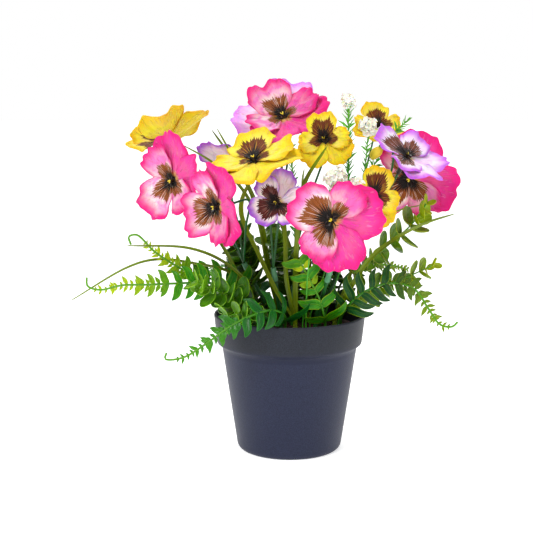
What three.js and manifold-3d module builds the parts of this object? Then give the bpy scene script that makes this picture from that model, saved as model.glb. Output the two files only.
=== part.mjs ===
// A potted artificial pansy arrangement: wire-stemmed fabric blooms, moulded fern fronds, leafy sprigs,
// grass blades and floret sprays, standing in a filled plastic nursery pot.
// Millimetres, +Z up. The origin is the middle of the pot's base, and -Y is the front.

import * as THREE from 'three';
import { mergeVertices } from 'three/addons/utils/BufferGeometryUtils.js';
import Module from 'manifold-3d';

const wasm = await Module();
wasm.setup();

// ---------------------------------------------------------------- driving dimensions

const GAP = 0.3;                  // kept between pieces that touch

const POT_HEIGHT = 109;
const RIM_RADIUS = 60;
const LIP_DROP = 1.2;             // rounding of the rim's outer edge
const COLLAR_FOOT_RADIUS = 57.6;
const COLLAR_FOOT_HEIGHT = 87;
const NECK_RADIUS = 53.6;         // the body just under the collar
const NECK_HEIGHT = 82;
const FOOT_RADIUS = 41.6;
const FOOT_EDGE = 4;              // rounding round the base
const LIP_ROUND = 0.8;
const COLLAR_STEP = 1.6;          // height of the slant under the collar
const SHOULDER_HEIGHT = 88;       // inside, where the wall widens into the collar
const SHOULDER_RADIUS = 55.4;
const POT_WALL = 1.8;
const POT_FLOOR = 2.5;
const POT_SIDES = 32;

const SOIL_HEIGHT = 97;
const SOIL_RELIEF = 1.6;
const SOIL_CLEARANCE = 0.4;
const STEM_START = 73.3;          // every stem stands on the floor of its hole in the soil
const HOLE_SIDES = 4;

const PETAL_THICKNESS = 0.65;
const HUB_OUTER = 4.2;
const HUB_INNER = 2.05;
const HUB_HALF_HEIGHT = 1.9;
const PETAL_ROOT = 2.9;           // radius at which a petal leaves the hub ring
const NECK_OF_BLOOM = 1.35;       // the stem's neck through the hub ring
const TUBE_RADIUS = 1.7;          // the black sleeve behind a bloom
const TUBE_LENGTH = 15;
const WIRE_RADIUS = 0.85;
const MAIN_STEM_RADIUS = 1.6;

const LEAF_THICKNESS = 0.7;
const LEAF_BELLY = 0.36;          // where a leaf is widest, as a share of its length
const FROND_RIB = { halfWidth: 0.75, thickness: 1.2, stalk: 0.8 };
const SPRIG_RIB = { halfWidth: 0.9, thickness: 1.5, stalk: 0.7 };
const SPRAY_RIB = { halfWidth: 0.6, thickness: 1.1, stalk: 0.7 };
const BLADE_DEPTH = 0.9;          // a grass blade is a folded strip
const CROWN_RADIUS = 2.4;         // where the blades of a tuft meet in the soil

// ---------------------------------------------------------------- materials

function paint(colour, roughness) {
  return new THREE.MeshStandardMaterial({ color: colour, roughness, metalness: 0 });
}

const slatePlastic = paint('#3a3f4e', 0.6);
const soilCrumb = paint('#2a1712', 0.95);
const stemGreen = paint('#3f6a1c', 0.5);
const fernGreen = paint('#4f9a22', 0.45);
const leafGreen = paint('#3f8a26', 0.4);
const grassOlive = paint('#6f7d12', 0.5);
const sprayGreen = paint('#4d9a2c', 0.5);
const floretWhite = paint('#f1eee2', 0.8);
const petalPaint = {
  pink: paint('#f2489b', 0.7),
  yellow: paint('#f2d21c', 0.7),
  lilac: paint('#cf96ea', 0.7),
  violet: paint('#e4cfe2', 0.7),
};

// ---------------------------------------------------------------- solids

function vec(x, y, z) {
  return new THREE.Vector3(x, y, z);
}

function solidOf(geometry) {
  geometry.deleteAttribute('normal');
  geometry.deleteAttribute('uv');
  const merged = mergeVertices(geometry, 1e-4);
  const vertProperties = new Float32Array(merged.attributes.position.array);
  const triVerts = new Uint32Array(merged.index.array);
  return new wasm.Manifold(new wasm.Mesh({ numProp: 3, vertProperties, triVerts }));
}

function solidFrom(points, faces) {
  const geometry = new THREE.BufferGeometry().setFromPoints(points);
  geometry.setIndex(faces.flat());
  return solidOf(geometry);
}

function fuse(solids) {
  return solids.reduce((whole, next) => whole.add(next));
}

function geometryOf(solid) {
  const mesh = solid.getMesh();
  const geometry = new THREE.BufferGeometry();
  geometry.setAttribute('position', new THREE.BufferAttribute(new Float32Array(mesh.vertProperties), 3));
  geometry.setIndex(new THREE.BufferAttribute(new Uint32Array(mesh.triVerts), 1));
  geometry.computeVertexNormals();
  return geometry;
}

const planter = new THREE.Group();
const placed = [];

function place(name, solid, material) {
  const mesh = new THREE.Mesh(geometryOf(solid), material);
  mesh.name = name;
  planter.add(mesh);
  mesh.geometry.computeBoundingBox();
  placed.push({ solid, box: mesh.geometry.boundingBox });
}

function isClear(solid) {
  const box = geometryOf(solid);
  box.computeBoundingBox();
  const near = placed.filter((other) => other.box.intersectsBox(box.boundingBox));
  return near.every((other) => other.solid.intersect(solid).isEmpty());
}

// A thin sheet of triangles becomes a closed blade, split alike on both faces.
function blade(points, faces, thickness) {
  const normals = points.map(() => vec(0, 0, 0));
  for (const [a, b, c] of faces) {
    const normal = points[b].clone().sub(points[a]).cross(points[c].clone().sub(points[a]));
    [a, b, c].forEach((i) => normals[i].add(normal));
  }
  const count = points.length;
  const half = (i) => normals[i].normalize().clone().multiplyScalar(thickness(i) / 2);
  const front = points.map((point, i) => point.clone().add(half(i)));
  const back = points.map((point, i) => point.clone().sub(half(i)));
  const used = new Set(faces.flatMap(([a, b, c]) => [`${a}_${b}`, `${b}_${c}`, `${c}_${a}`]));
  const walls = [];
  for (const [a, b, c] of faces) {
    for (const [from, to] of [[a, b], [b, c], [c, a]]) {
      if (!used.has(`${to}_${from}`)) {
        walls.push([to, from, from + count], [to, from + count, to + count]);
      }
    }
  }
  const behind = faces.map(([a, b, c]) => [a + count, c + count, b + count]);
  return solidFrom([...front, ...back], [...faces, ...behind, ...walls]);
}

// Rings of points, each turning about the way ahead, are walled together and closed by flat ends.
function loft(rings) {
  const sides = rings[0].length;
  const last = (rings.length - 1) * sides;
  const faces = [];
  for (let ring = 0; ring < rings.length - 1; ring += 1) {
    for (let k = 0; k < sides; k += 1) {
      const a = ring * sides + k;
      const b = ring * sides + ((k + 1) % sides);
      faces.push([a, b, b + sides], [a, b + sides, a + sides]);
    }
  }
  for (let k = 1; k < sides - 1; k += 1) {
    faces.push([0, k + 1, k], [last, last + k, last + k + 1]);
  }
  return solidFrom(rings.flat(), faces);
}

// A profile of [radius, height] pairs turned about an axis.
function turned(profile, sides, at, axis) {
  const geometry = new THREE.LatheGeometry(profile.map(([r, h]) => new THREE.Vector2(r, h)), sides);
  geometry.applyQuaternion(new THREE.Quaternion().setFromUnitVectors(vec(0, 1, 0), axis));
  geometry.translate(at.x, at.y, at.z);
  return solidOf(geometry);
}

// ---------------------------------------------------------------- curves

function spine(points, face) {
  const curve = new THREE.CatmullRomCurve3(points.map((p) => vec(...p)));
  return { curve, face: vec(...face).normalize() };
}

function along(path, u) {
  const at = path.curve.getPointAt(u);
  const ahead = path.curve.getTangentAt(u);
  const side = ahead.clone().cross(path.face).normalize();
  const front = side.clone().cross(ahead);
  return { at, ahead, side, front };
}

function offset(frame, side, front) {
  return frame.at.clone().addScaledVector(frame.side, side).addScaledVector(frame.front, front);
}

function rod(path, radiusAt, steps, sides) {
  const rings = [];
  for (let step = 0; step <= steps; step += 1) {
    const frame = along(path, step / steps);
    const radius = radiusAt(step / steps);
    const ring = [];
    for (let k = 0; k < sides; k += 1) {
      const turn = (2 * Math.PI * k) / sides;
      ring.push(offset(frame, radius * Math.sin(turn), radius * Math.cos(turn)));
    }
    rings.push(ring);
  }
  return loft(rings);
}

// Small repeatable differences between like leaves.
function vary(index, salt) {
  return Math.sin(index * 2.4 + salt * 1.7);
}

// ---------------------------------------------------------------- pot

function makePot() {
  const profile = [
    [0, 0],
    [FOOT_RADIUS - FOOT_EDGE, 0],
    [FOOT_RADIUS - FOOT_EDGE * 0.3, FOOT_EDGE * 0.3],
    [FOOT_RADIUS + 0.3, FOOT_EDGE],
    [NECK_RADIUS, NECK_HEIGHT],
    [COLLAR_FOOT_RADIUS - 1, COLLAR_FOOT_HEIGHT - COLLAR_STEP],
    [COLLAR_FOOT_RADIUS, COLLAR_FOOT_HEIGHT],
    [RIM_RADIUS, POT_HEIGHT - LIP_DROP],
    [RIM_RADIUS - LIP_ROUND, POT_HEIGHT],
    [RIM_RADIUS - POT_WALL, POT_HEIGHT],
    [SHOULDER_RADIUS, SHOULDER_HEIGHT],
    [NECK_RADIUS - POT_WALL, NECK_HEIGHT],
    [FOOT_RADIUS - POT_WALL, POT_FLOOR],
    [0, POT_FLOOR],
  ];
  place('pot', turned(profile, POT_SIDES, vec(0, 0, 0), vec(0, 0, 1)), slatePlastic);
}

// ---------------------------------------------------------------- plants, as data

// Each bloom: throat position, the way it faces, the turn of its upper petals round the throat in degrees,
// its scale, how far it cups forward, and its fabric.
const BLOOMS = {
  pink_left: {
    at: [-90.2, -26, 216], facing: [-0.7, -0.7, 0.05], up: 50, size: 1, cup: 0.24, fabric: 'pink',
  },
  pink_low: {
    at: [-55.5, -66, 200], facing: [-0.76, -0.64, -0.1], up: 20, size: 0.93, cup: 0.28, fabric: 'pink',
  },
  pink_front: {
    at: [27.4, -95, 193.8], facing: [-0.1, -0.98, -0.05], up: -32, size: 1, cup: 0.14, fabric: 'pink',
  },
  pink_top: {
    at: [-5.5, 12, 264], facing: [-0.15, -0.66, 0.73], up: -50, size: 1, cup: 0.32, fabric: 'pink',
  },
  pink_right: {
    at: [93.7, 2, 215], facing: [-0.28, -0.94, -0.2], up: 30, size: 1.04, cup: 0.12, fabric: 'pink',
  },
  lilac_right: {
    at: [86, -44, 236], facing: [0.35, -0.45, 0.8], up: -50, size: 0.9, cup: 0.2, fabric: 'lilac',
  },
  yellow_mid: {
    at: [-28, -44, 233.5], facing: [-0.32, -0.36, 0.87], up: -50, size: 1.06, cup: 0.14, fabric: 'yellow',
  },
  yellow_centre: {
    at: [25, -26, 247], facing: [-0.1, -0.93, 0.35], up: -80, size: 0.64, cup: 0.16, fabric: 'yellow',
  },
  yellow_back_right: {
    at: [71.7, 45, 256], facing: [0.1, -0.66, 0.74], up: -90, size: 0.64, cup: 0.2, fabric: 'yellow',
  },
  yellow_right: {
    at: [60, -52, 207], facing: [0.35, -0.9, 0.2], up: -110, size: 0.68, cup: 0.16, fabric: 'yellow',
  },
  yellow_back_left: {
    at: [-100, 40, 247], facing: [-0.45, 0.35, 0.82], up: 90, size: 1.06, cup: 0.24, fabric: 'yellow',
  },
  violet_centre: {
    at: [-11, -66, 203.5], facing: [-0.12, -0.94, 0.3], up: 40, size: 0.66, cup: 0.3, fabric: 'violet',
  },
  violet_hidden: {
    at: [-45.5, 10, 229], facing: [0, 0.5, 0.85], up: 90, size: 0.8, cup: 0.2, fabric: 'violet',
  },
  lilac_rear: {
    at: [40, 78, 176], facing: [0.35, 0.9, 0.25], up: 80, size: 0.9, cup: 0.16, fabric: 'lilac',
  },
};

// The second, paler layer behind one bloom.
const BACKED_BLOOM = 'pink_top';
const BACK_LAYER = { fabric: 'lilac', up: 135, size: 1.08, cup: 0.24 };
const BACK_LAYER_DEPTH = 4.2;

// Each pick stands in the soil and branches to its blooms at a sleeve.
const PICKS = {
  pick_left: {
    foot: [-14, -2],
    sleeve: [-36, -8, 150],
    blooms: ['pink_left', 'pink_low', 'yellow_back_left', 'violet_hidden'],
  },
  pick_middle: {
    foot: [-7, -13],
    sleeve: [-13, -20, 148],
    blooms: ['yellow_mid', 'violet_centre', 'pink_top'],
  },
  pick_front: { foot: [20, -16], sleeve: [30, -40, 150], blooms: ['pink_front', 'yellow_right'] },
  pick_right: {
    foot: [24, 4],
    sleeve: [48.5, 4.5, 162],
    blooms: ['pink_right', 'lilac_right', 'yellow_back_right'],
  },
  pick_rear: { foot: [2, 14], sleeve: [4, 22, 150], blooms: ['yellow_centre', 'lilac_rear'] },
};

const BUD = {
  pick: 'pick_right', at: [70, -5, 240], towards: [-0.62, 0, -0.78], length: 12, radius: 4, neck: 1.2,
};

// Each petal: its middle direction, half its spread, its length and its layer from back to front.
const PETALS = [
  { turn: 45, spread: 54, length: 37, layer: -1 },
  { turn: 135, spread: 54, length: 37, layer: -1.9 },
  { turn: 4, spread: 46, length: 30, layer: 0 },
  { turn: 176, spread: 46, length: 30, layer: 0 },
  { turn: -90, spread: 60, length: 32, layer: 1 },
];
const PETAL_FALL = 0.36;          // how far a petal's corners fall short of its middle
const PETAL_NARROW = 0.6;         // a petal's spread at its root, as a share of that at its edge
const LAYER_STEP = 0.8;
const LAYER_LEAN = 0.05;          // each layer opens away from the one behind it
const RUFFLE = 2.6;
const RUFFLE_RADIUS = 32;
const RUFFLE_TURNS = 5;

const FRONDS = {
  frond_curl: {
    foot: [-34, -5],
    points: [[-39, -9, 126], [-51, -12, 136], [-72, -18, 141], [-89, -24, 151], [-104, -28, 162],
      [-117, -30, 175], [-123, -30, 173.5], [-121.5, -30, 167.5]],
    face: [0, -0.95, 0.3], pairs: 10, base: 21, tip: 5, from: 0.34, to: 0.84,
  },
  frond_left: {
    foot: [-38, -14],
    points: [[-44, -19, 126], [-60, -27, 137], [-86, -36, 138.6], [-108, -38, 138], [-128, -38, 137.5],
      [-145, -38, 134], [-154, -38, 137], [-154.5, -38, 143.5]],
    face: [0, -0.95, 0.3], pairs: 11, base: 20, tip: 5, from: 0.33, to: 0.9,
  },
  frond_front: {
    foot: [-4, -36],
    points: [[-5, -47, 116], [-14, -57, 122], [-29, -64, 119.5], [-46, -68.5, 111.5], [-62, -70, 100],
      [-80, -70, 89], [-93, -70, 88], [-92, -70, 92.5]],
    face: [0.1, -0.85, 0.5], pairs: 10, base: 22, tip: 5, from: 0.24, to: 0.88,
  },
  frond_heart: {
    foot: [27, -27],
    points: [[26, -31, 112], [22, -33, 126], [14, -35, 142], [6, -35, 157]],
    face: [0.1, -0.95, 0.2], pairs: 5, base: 21, tip: 14, from: 0.4, to: 0.95,
  },
  frond_right: {
    foot: [38, -18],
    points: [[45, -30, 121], [58, -40, 134], [76, -48, 141], [92, -51, 137], [103, -52, 122],
      [112, -52, 110], [121, -52, 108.5], [125, -52, 112]],
    face: [0, -0.95, 0.25], pairs: 11, base: 21, tip: 5, from: 0.3, to: 0.92,
  },
  frond_far: {
    foot: [38, 16],
    points: [[42, 22, 128], [55, 28, 140], [70, 32, 142.5], [86, 35, 141], [98, 37, 137.5]],
    face: [0, -0.7, 0.7], pairs: 7, base: 15, tip: 6, from: 0.38, to: 0.97,
  },
  frond_rear_left: {
    foot: [-16, 30],
    points: [[-26, 40, 124], [-42, 56, 136], [-58, 74, 134], [-72, 90, 122], [-80, 100, 112],
      [-84, 103, 114]],
    face: [0.3, -0.2, 0.93], pairs: 7, base: 18, tip: 5, from: 0.32, to: 0.9,
  },
  frond_rear_right: {
    foot: [16, 36],
    points: [[20, 48, 124], [28, 66, 137], [36, 86, 136], [44, 103, 124], [49, 113, 114], [52, 116, 117]],
    face: [0.1, -0.3, 0.95], pairs: 7, base: 18, tip: 5, from: 0.32, to: 0.9,
  },
};

// Each sprig: its stem, then pairs of leaves as [u, length, width, turn of the pair round the stem, rise].
const SPRIGS = {
  sprig_left: {
    foot: [-30, -28],
    points: [[-35, -34, 122], [-46, -43, 131], [-57, -50, 136], [-70, -55, 143]],
    face: [0, -0.9, 0.4],
    pairs: [[0.46, 19, 18, 80, 0.5], [0.58, 19, 18, 20, 0.4], [0.7, 17, 16, 90, 0.4], [0.82, 17, 16, 20, 0.4],
      [0.92, 14, 11, 80, 0.5], [0.985, 11, 6, 20, 0.9]],
  },
  sprig_low: {
    foot: [-20, -36],
    points: [[-28, -44, 114], [-38, -52, 119], [-48, -57, 117]],
    face: [0, -0.8, 0.6],
    pairs: [[0.62, 15, 13, 40, 0.4], [0.8, 16, 13, 100, 0.4], [0.97, 15, 10, 30, 0.5]],
  },
  sprig_core: {
    foot: [8, 30],
    points: [[5, 26, 124], [-3, 22, 142], [-10, 20, 160], [-13, 20, 174]],
    face: [0, -1, 0.1],
    pairs: [[0.42, 19, 16, 30, 0.4], [0.58, 20, 17, 100, 0.4], [0.74, 19, 16, 20, 0.4],
      [0.9, 17, 13, 90, 0.5]],
  },
  sprig_inner: {
    foot: [24, 32],
    points: [[25, 28, 122], [27, 22, 142], [26, 18, 160], [22, 16, 176]],
    face: [0, -1, 0.1],
    pairs: [[0.42, 19, 15, 40, 0.4], [0.58, 19, 16, 110, 0.4], [0.74, 18, 14, 30, 0.4],
      [0.9, 16, 12, 90, 0.5]],
  },
  sprig_mid: {
    foot: [-24, 4],
    points: [[-27, 6, 128], [-33, 8, 150], [-41, 8, 168], [-50, 9, 181]],
    face: [0, -1, 0.1],
    pairs: [[0.5, 17, 17, 20, 0.4], [0.68, 19, 19, 100, 0.4], [0.84, 18, 17, 30, 0.4],
      [0.97, 14, 9, 90, 0.8]],
  },
  sprig_high: {
    foot: [36, 8],
    points: [[48, 8, 128], [66, 2, 152], [82, -5, 168], [94, -13, 181], [105, -20, 199]],
    face: [0, -1, 0.1],
    pairs: [[0.42, 20, 9, 80, 0.5], [0.56, 21, 10, 110, 0.5], [0.7, 19, 11, 70, 0.5],
      [0.84, 16, 13, 20, 0.5], [0.93, 12, 9, 100, 0.7], [0.99, 8, 4, 10, 1.1]],
  },
  sprig_right: {
    foot: [41, -4],
    points: [[50, -8, 120], [68, -16, 131], [86, -24, 140], [100, -28, 147], [109, -30, 152]],
    face: [0, -0.8, 0.6],
    pairs: [[0.46, 16, 10, 90, 0.5], [0.62, 17, 11, 30, 0.5], [0.78, 14, 11, 90, 0.5],
      [0.9, 13, 9, 20, 0.6], [0.99, 9, 5, 100, 0.9]],
  },
  sprig_rear: {
    foot: [0, 38],
    points: [[0, 46, 122], [-4, 56, 142], [-10, 62, 162], [-18, 64, 178]],
    face: [0, 1, 0.1],
    pairs: [[0.5, 17, 15, 30, 0.4], [0.7, 18, 16, 100, 0.4], [0.86, 15, 13, 40, 0.5], [0.98, 11, 7, 90, 0.9]],
  },
};

// Each tuft: its foot, then its blades as [half width, points].
const TUFTS = {
  grass_left: {
    foot: [-27, -12],
    blades: [
      [1.1, [[-32, -18, 133], [-50, -26, 153], [-76, -32, 165], [-124, -40, 168.3]]],
      [1, [[-43, -14, 141], [-78, -18, 152], [-104, -22, 155], [-124, -26, 150], [-168, -36, 125]]],
      [1.1, [[-42, -16, 145], [-57, -17, 172], [-78, -16, 196], [-88, -15, 203]]],
    ],
  },
  grass_middle: {
    foot: [4, -24],
    blades: [
      [1.9, [[4, -28, 140], [4.9, -31, 171], [9, -37, 212], [27, -45, 244]]],
      [1.7, [[-10, -27, 130], [-24, -20, 158], [-38, -14, 192], [-31, -9, 213], [4, -4, 240]]],
      [1.5, [[-3, -28, 140], [-4, -25, 170], [-6, -20, 205], [-7, -12, 240]]],
    ],
  },
  grass_rear: {
    foot: [-9, 16],
    blades: [
      [1.6, [[-16, 20, 140], [-24, 26, 184], [-36, 36, 212], [-52, 47, 236], [-64, 55, 252]]],
      [1.1, [[-17, 10, 140], [-26, -2, 186], [-40, -12, 212], [-61, -10, 229.5], [-85, 0, 242.5]]],
      [1.1, [[-18, 8, 150], [-31, -4, 206], [-47, -10, 238], [-57, -10, 256]]],
    ],
  },
  grass_right: {
    foot: [35, -14],
    blades: [
      [1.5, [[47, -34, 137], [60, -40, 158.4], [78, -46, 174.5], [99, -50, 186.2], [121, -54, 194]]],
      [1, [[50, 0, 145], [63, 2, 176.6], [86, -2, 191], [102, -4, 195]]],
    ],
  },
  grass_far: {
    foot: [16, 24],
    blades: [
      [1.3, [[17, 34, 140], [15, 50, 180], [12, 68, 206], [14, 84, 218]]],
      [1.3, [[8, 36, 136], [-4, 54, 168], [-14, 76, 190], [-22, 98, 192]]],
    ],
  },
};

// Each spray: its stem, its pairs of needles, and its floret head with a radius.
const SPRAY_FACE = [0.2, -0.95, 0.1];
const SPRAYS = {
  spray_needles: {
    foot: [16, -4],
    points: [[30, -4, 150], [44, -4, 200], [45, -4, 240]],
    needles: { from: 0.58, to: 0.9, count: 9, length: 9 },
    head: { at: [44.6, -2, 275], radius: 6 },
  },
  spray_front: {
    foot: [10, -19],
    points: [[15, -26, 140], [24, -40, 182]],
    needles: { from: 0.7, to: 0.9, count: 4, length: 7.5 },
    head: { at: [32.4, -50, 219], radius: 8.5 },
  },
  spray_side: {
    foot: [12, -30],
    points: [[13, -42, 150], [19, -60, 194], [31, -71, 209]],
    needles: { from: 0.7, to: 0.86, count: 2, length: 6 },
    head: { at: [45, -78, 215], radius: 6.5 },
  },
  spray_right: {
    foot: [28, -2],
    points: [[44, -10, 160], [56, -14, 215]],
    needles: { from: 0.7, to: 0.9, count: 4, length: 6 },
    head: { at: [60.2, -10, 256], radius: 8 },
  },
  spray_far: {
    foot: [28, 12],
    points: [[32, 14, 130], [44, 20, 165], [66, 26, 220], [84, 24, 250], [96, 22, 262]],
    needles: { from: 0.76, to: 0.98, count: 5, length: 8 },
  },
  spray_airy: {
    foot: [2, 4],
    points: [[4, 8, 150], [4, 10, 195], [2, 14, 222], [0, 18, 240]],
    needles: { from: 0.6, to: 0.98, count: 6, length: 7 },
  },
};

// ---------------------------------------------------------------- soil

// Every foot in the soil: its place, and the radius of what stands there.
const STEM_FEET = [
  ...Object.values(PICKS).map((pick) => [...pick.foot, MAIN_STEM_RADIUS]),
  ...Object.values(FRONDS).map((frond) => [...frond.foot, FROND_RIB.thickness]),
  ...Object.values(SPRIGS).map((sprig) => [...sprig.foot, SPRIG_RIB.thickness * 0.8]),
  ...Object.values(TUFTS).map((tuft) => [...tuft.foot, CROWN_RADIUS]),
  ...Object.values(SPRAYS).map((spray) => [...spray.foot, SPRAY_RIB.thickness]),
];

function soilRelief(x, y) {
  const lumps = Math.sin(x * 0.31 + 1) * Math.cos(y * 0.27);
  const swells = Math.sin(x * 0.13 - y * 0.22);
  return SOIL_RELIEF * (0.6 * lumps + 0.4 * swells);
}

// The crumbly fill stands clear of the pot's inner wall all round, up to just above its shoulder.
function makeSoil() {
  const rings = 3;
  const sides = 18;
  const neck = NECK_RADIUS - POT_WALL - SOIL_CLEARANCE;
  const shoulder = SHOULDER_RADIUS - SOIL_CLEARANCE;
  const points = [vec(0, 0, SOIL_HEIGHT + soilRelief(0, 0))];
  const addRing = (radius, heightAt) => {
    for (let k = 0; k < sides; k += 1) {
      const turn = (2 * Math.PI * k) / sides;
      const x = radius * Math.cos(turn);
      const y = radius * Math.sin(turn);
      points.push(vec(x, y, heightAt(x, y)));
    }
  };
  for (let ring = 1; ring <= rings; ring += 1) {
    addRing((shoulder * ring) / rings, (x, y) => SOIL_HEIGHT + soilRelief(x, y));
  }
  addRing(shoulder, () => SHOULDER_HEIGHT + GAP);
  addRing(neck, () => NECK_HEIGHT);
  addRing(FOOT_RADIUS - POT_WALL - SOIL_CLEARANCE, () => POT_FLOOR + GAP);
  const walls = rings + 2;
  const faces = [];
  for (let k = 0; k < sides; k += 1) {
    faces.push([0, 1 + k, 1 + ((k + 1) % sides)]);
  }
  for (let ring = 0; ring < walls; ring += 1) {
    for (let k = 0; k < sides; k += 1) {
      const a = 1 + ring * sides + k;
      const b = 1 + ring * sides + ((k + 1) % sides);
      faces.push([a, a + sides, b + sides], [a, b + sides, b]);
    }
  }
  const bottom = 1 + walls * sides;
  for (let k = 1; k < sides - 1; k += 1) {
    faces.push([bottom, bottom + k + 1, bottom + k]);
  }
  const plug = solidFrom(points, faces);
  const above = SOIL_HEIGHT + 6;
  const holes = STEM_FEET.map(([x, y, radius]) => {
    const wide = (radius + GAP + 0.1) / Math.cos(Math.PI / HOLE_SIDES);
    const profile = [[0, STEM_START - GAP], [wide, STEM_START - GAP], [wide, above], [0, above]];
    return turned(profile, HOLE_SIDES, vec(x, y, 0), vec(0, 0, 1));
  });
  place('soil', holes.reduce((whole, hole) => whole.subtract(hole), plug), soilCrumb);
}

// A stem starts in its hole and rises straight through the soil's surface.
function rooted(foot, points) {
  const [x, y] = foot;
  return [[x, y, STEM_START], [x, y, SOIL_HEIGHT + 2], [x, y, SOIL_HEIGHT + 8], ...points];
}

// ---------------------------------------------------------------- blooms

function bloomFrame(bloom) {
  const at = vec(...bloom.at);
  const facing = vec(...bloom.facing).normalize();
  const level = vec(0, 0, 1).cross(facing).normalize();
  const rise = facing.clone().cross(level);
  const turn = THREE.MathUtils.degToRad(bloom.up);
  const up = level.clone().multiplyScalar(Math.cos(turn)).addScaledVector(rise, Math.sin(turn));
  const right = up.clone().cross(facing);
  return { at, facing, up, right };
}

// One point of a petal: u runs across it from -1 to 1, and t runs out from the hub to its edge.
function petalPoint(bloom, frame, petal, u, t) {
  const spread = THREE.MathUtils.degToRad(petal.spread) * (PETAL_NARROW + (1 - PETAL_NARROW) * t);
  const turn = THREE.MathUtils.degToRad(petal.turn) + u * spread;
  const length = petal.length * bloom.size;
  const edge = length * (1 - PETAL_FALL * Math.abs(u) ** 3);
  const radius = PETAL_ROOT + (edge - PETAL_ROOT) * t;
  const bowl = bloom.cup * radius * (radius / length);
  const lean = petal.layer * LAYER_LEAN * radius;
  const reach = radius / (RUFFLE_RADIUS * bloom.size);
  const ruffle = RUFFLE * bloom.size * reach * reach * Math.sin(RUFFLE_TURNS * turn + bloom.at[0]);
  const height = petal.layer * LAYER_STEP + bowl + lean + ruffle;
  return frame.at.clone()
    .addScaledVector(frame.right, radius * Math.cos(turn))
    .addScaledVector(frame.up, radius * Math.sin(turn))
    .addScaledVector(frame.facing, height);
}

// The petal leaves its hub as a narrow root and is split alike on both faces.
function petalBlade(bloom, frame, petal) {
  const columns = 3;
  const root = [-0.75, 0.75].map((u) => petalPoint(bloom, frame, petal, u, 0));
  const points = [...root];
  for (const t of [0.58, 1]) {
    for (let column = 0; column <= columns; column += 1) {
      points.push(petalPoint(bloom, frame, petal, (2 * column) / columns - 1, t));
    }
  }
  const middle = Math.ceil(columns / 2);
  const faces = [[0, 2 + middle, 1]];
  for (let column = 0; column < columns; column += 1) {
    const a = 2 + column;
    const b = a + columns + 1;
    faces.push([column < middle ? 0 : 1, a, a + 1], [a, b, b + 1], [a, b + 1, a + 1]);
  }
  return blade(points, faces, () => PETAL_THICKNESS);
}

function hubRing(frame) {
  const half = HUB_HALF_HEIGHT;
  const start = [HUB_INNER, -half];
  const profile = [start, [HUB_OUTER, -half], [HUB_OUTER, half], [HUB_INNER, half], start];
  return turned(profile, 4, frame.at, frame.facing);
}

function makePetals(name, bloom) {
  const frame = bloomFrame(bloom);
  const blades = PETALS.map((petal) => petalBlade(bloom, frame, petal));
  const hub = hubRing(frame);
  place(`petals_${name}`, fuse([hub, ...blades]), petalPaint[bloom.fabric]);
}

function makeBackLayer() {
  const front = BLOOMS[BACKED_BLOOM];
  const frame = bloomFrame(front);
  const at = frame.at.clone().addScaledVector(frame.facing, -BACK_LAYER_DEPTH);
  const layer = { ...front, ...BACK_LAYER, at: at.toArray() };
  const backFrame = bloomFrame(layer);
  const blades = PETALS.slice(0, 2).map((petal) => petalBlade(layer, backFrame, petal));
  const hub = hubRing(backFrame);
  place(`petals_${BACKED_BLOOM}_back`, fuse([hub, ...blades]), petalPaint[layer.fabric]);
}

function bloomSeat(name) {
  const frame = bloomFrame(BLOOMS[name]);
  const below = name === BACKED_BLOOM ? BACK_LAYER_DEPTH + GAP : 0;
  const cup = -HUB_HALF_HEIGHT - GAP - below;
  const top = HUB_HALF_HEIGHT + GAP;
  const profile = [
    [0, cup - TUBE_LENGTH],
    [TUBE_RADIUS, cup - TUBE_LENGTH],
    [TUBE_RADIUS, cup - 3],
    [3.4, cup],
    [NECK_OF_BLOOM, cup],
    [NECK_OF_BLOOM, top],
    [2.9, top],
    [0, top + 2.1],
  ];
  return { frame, solid: turned(profile, 5, frame.at, frame.facing), tail: cup - TUBE_LENGTH };
}

function wire(points, radius) {
  const path = spine(points, [0.25, -0.93, 0.1]);
  return rod(path, () => radius, 5, radius > 1 ? 5 : 4);
}

function branchTo(name, sleeve) {
  const seat = bloomSeat(name);
  const back = (distance) => seat.frame.at.clone().addScaledVector(seat.frame.facing, distance);
  const end = back(seat.tail + 1.5);
  const before = back(seat.tail - 14);
  const start = vec(...sleeve);
  const lift = start.clone().lerp(before, 0.45).add(vec(0, 0, 6));
  const points = [start, lift, before, end].map((p) => p.toArray());
  return fuse([wire(points, WIRE_RADIUS), seat.solid]);
}

function budSeat() {
  const profile = [[0, -7], [1.4, -7], [1.5, -2], [2.9, 0], [BUD.neck, 0], [BUD.neck, 4], [0, 4]];
  return turned(profile, 6, vec(...BUD.at), vec(...BUD.towards).normalize());
}

// The bud nods on a wire that comes over it from behind.
function budWire(sleeve) {
  const base = vec(...BUD.at);
  const end = base.clone().addScaledVector(vec(...BUD.towards).normalize(), -6);
  const bend = base.clone().add(vec(10, 2, -6));
  const rise = base.clone().add(vec(2, 6, -40));
  return wire([sleeve, rise.toArray(), bend.toArray(), end.toArray()], WIRE_RADIUS);
}

function makePick(name, pick) {
  const main = wire(rooted(pick.foot, [pick.sleeve]), MAIN_STEM_RADIUS);
  const parts = [main, ...pick.blooms.map((bloom) => branchTo(bloom, pick.sleeve))];
  if (name === BUD.pick) {
    parts.push(budWire(pick.sleeve), budSeat());
  }
  place(name, fuse(parts), stemGreen);
}

function makeBud() {
  const { length, radius, neck } = BUD;
  const base = vec(...BUD.at);
  const towards = vec(...BUD.towards).normalize();
  const slim = radius * 0.7;
  const profile = [[0, GAP], [slim, GAP], [radius, length * 0.4], [slim, length * 0.8], [0, length]];
  const bore = [[0, -1], [neck + 2 * GAP, -1], [neck + 2 * GAP, 4 + 2 * GAP], [0, 4 + 2 * GAP]];
  const bud = turned(profile, 7, base, towards).subtract(turned(bore, 7, base, towards));
  place('petals_bud', bud, petalPaint.yellow);
}

// ---------------------------------------------------------------- leafy stems

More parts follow.
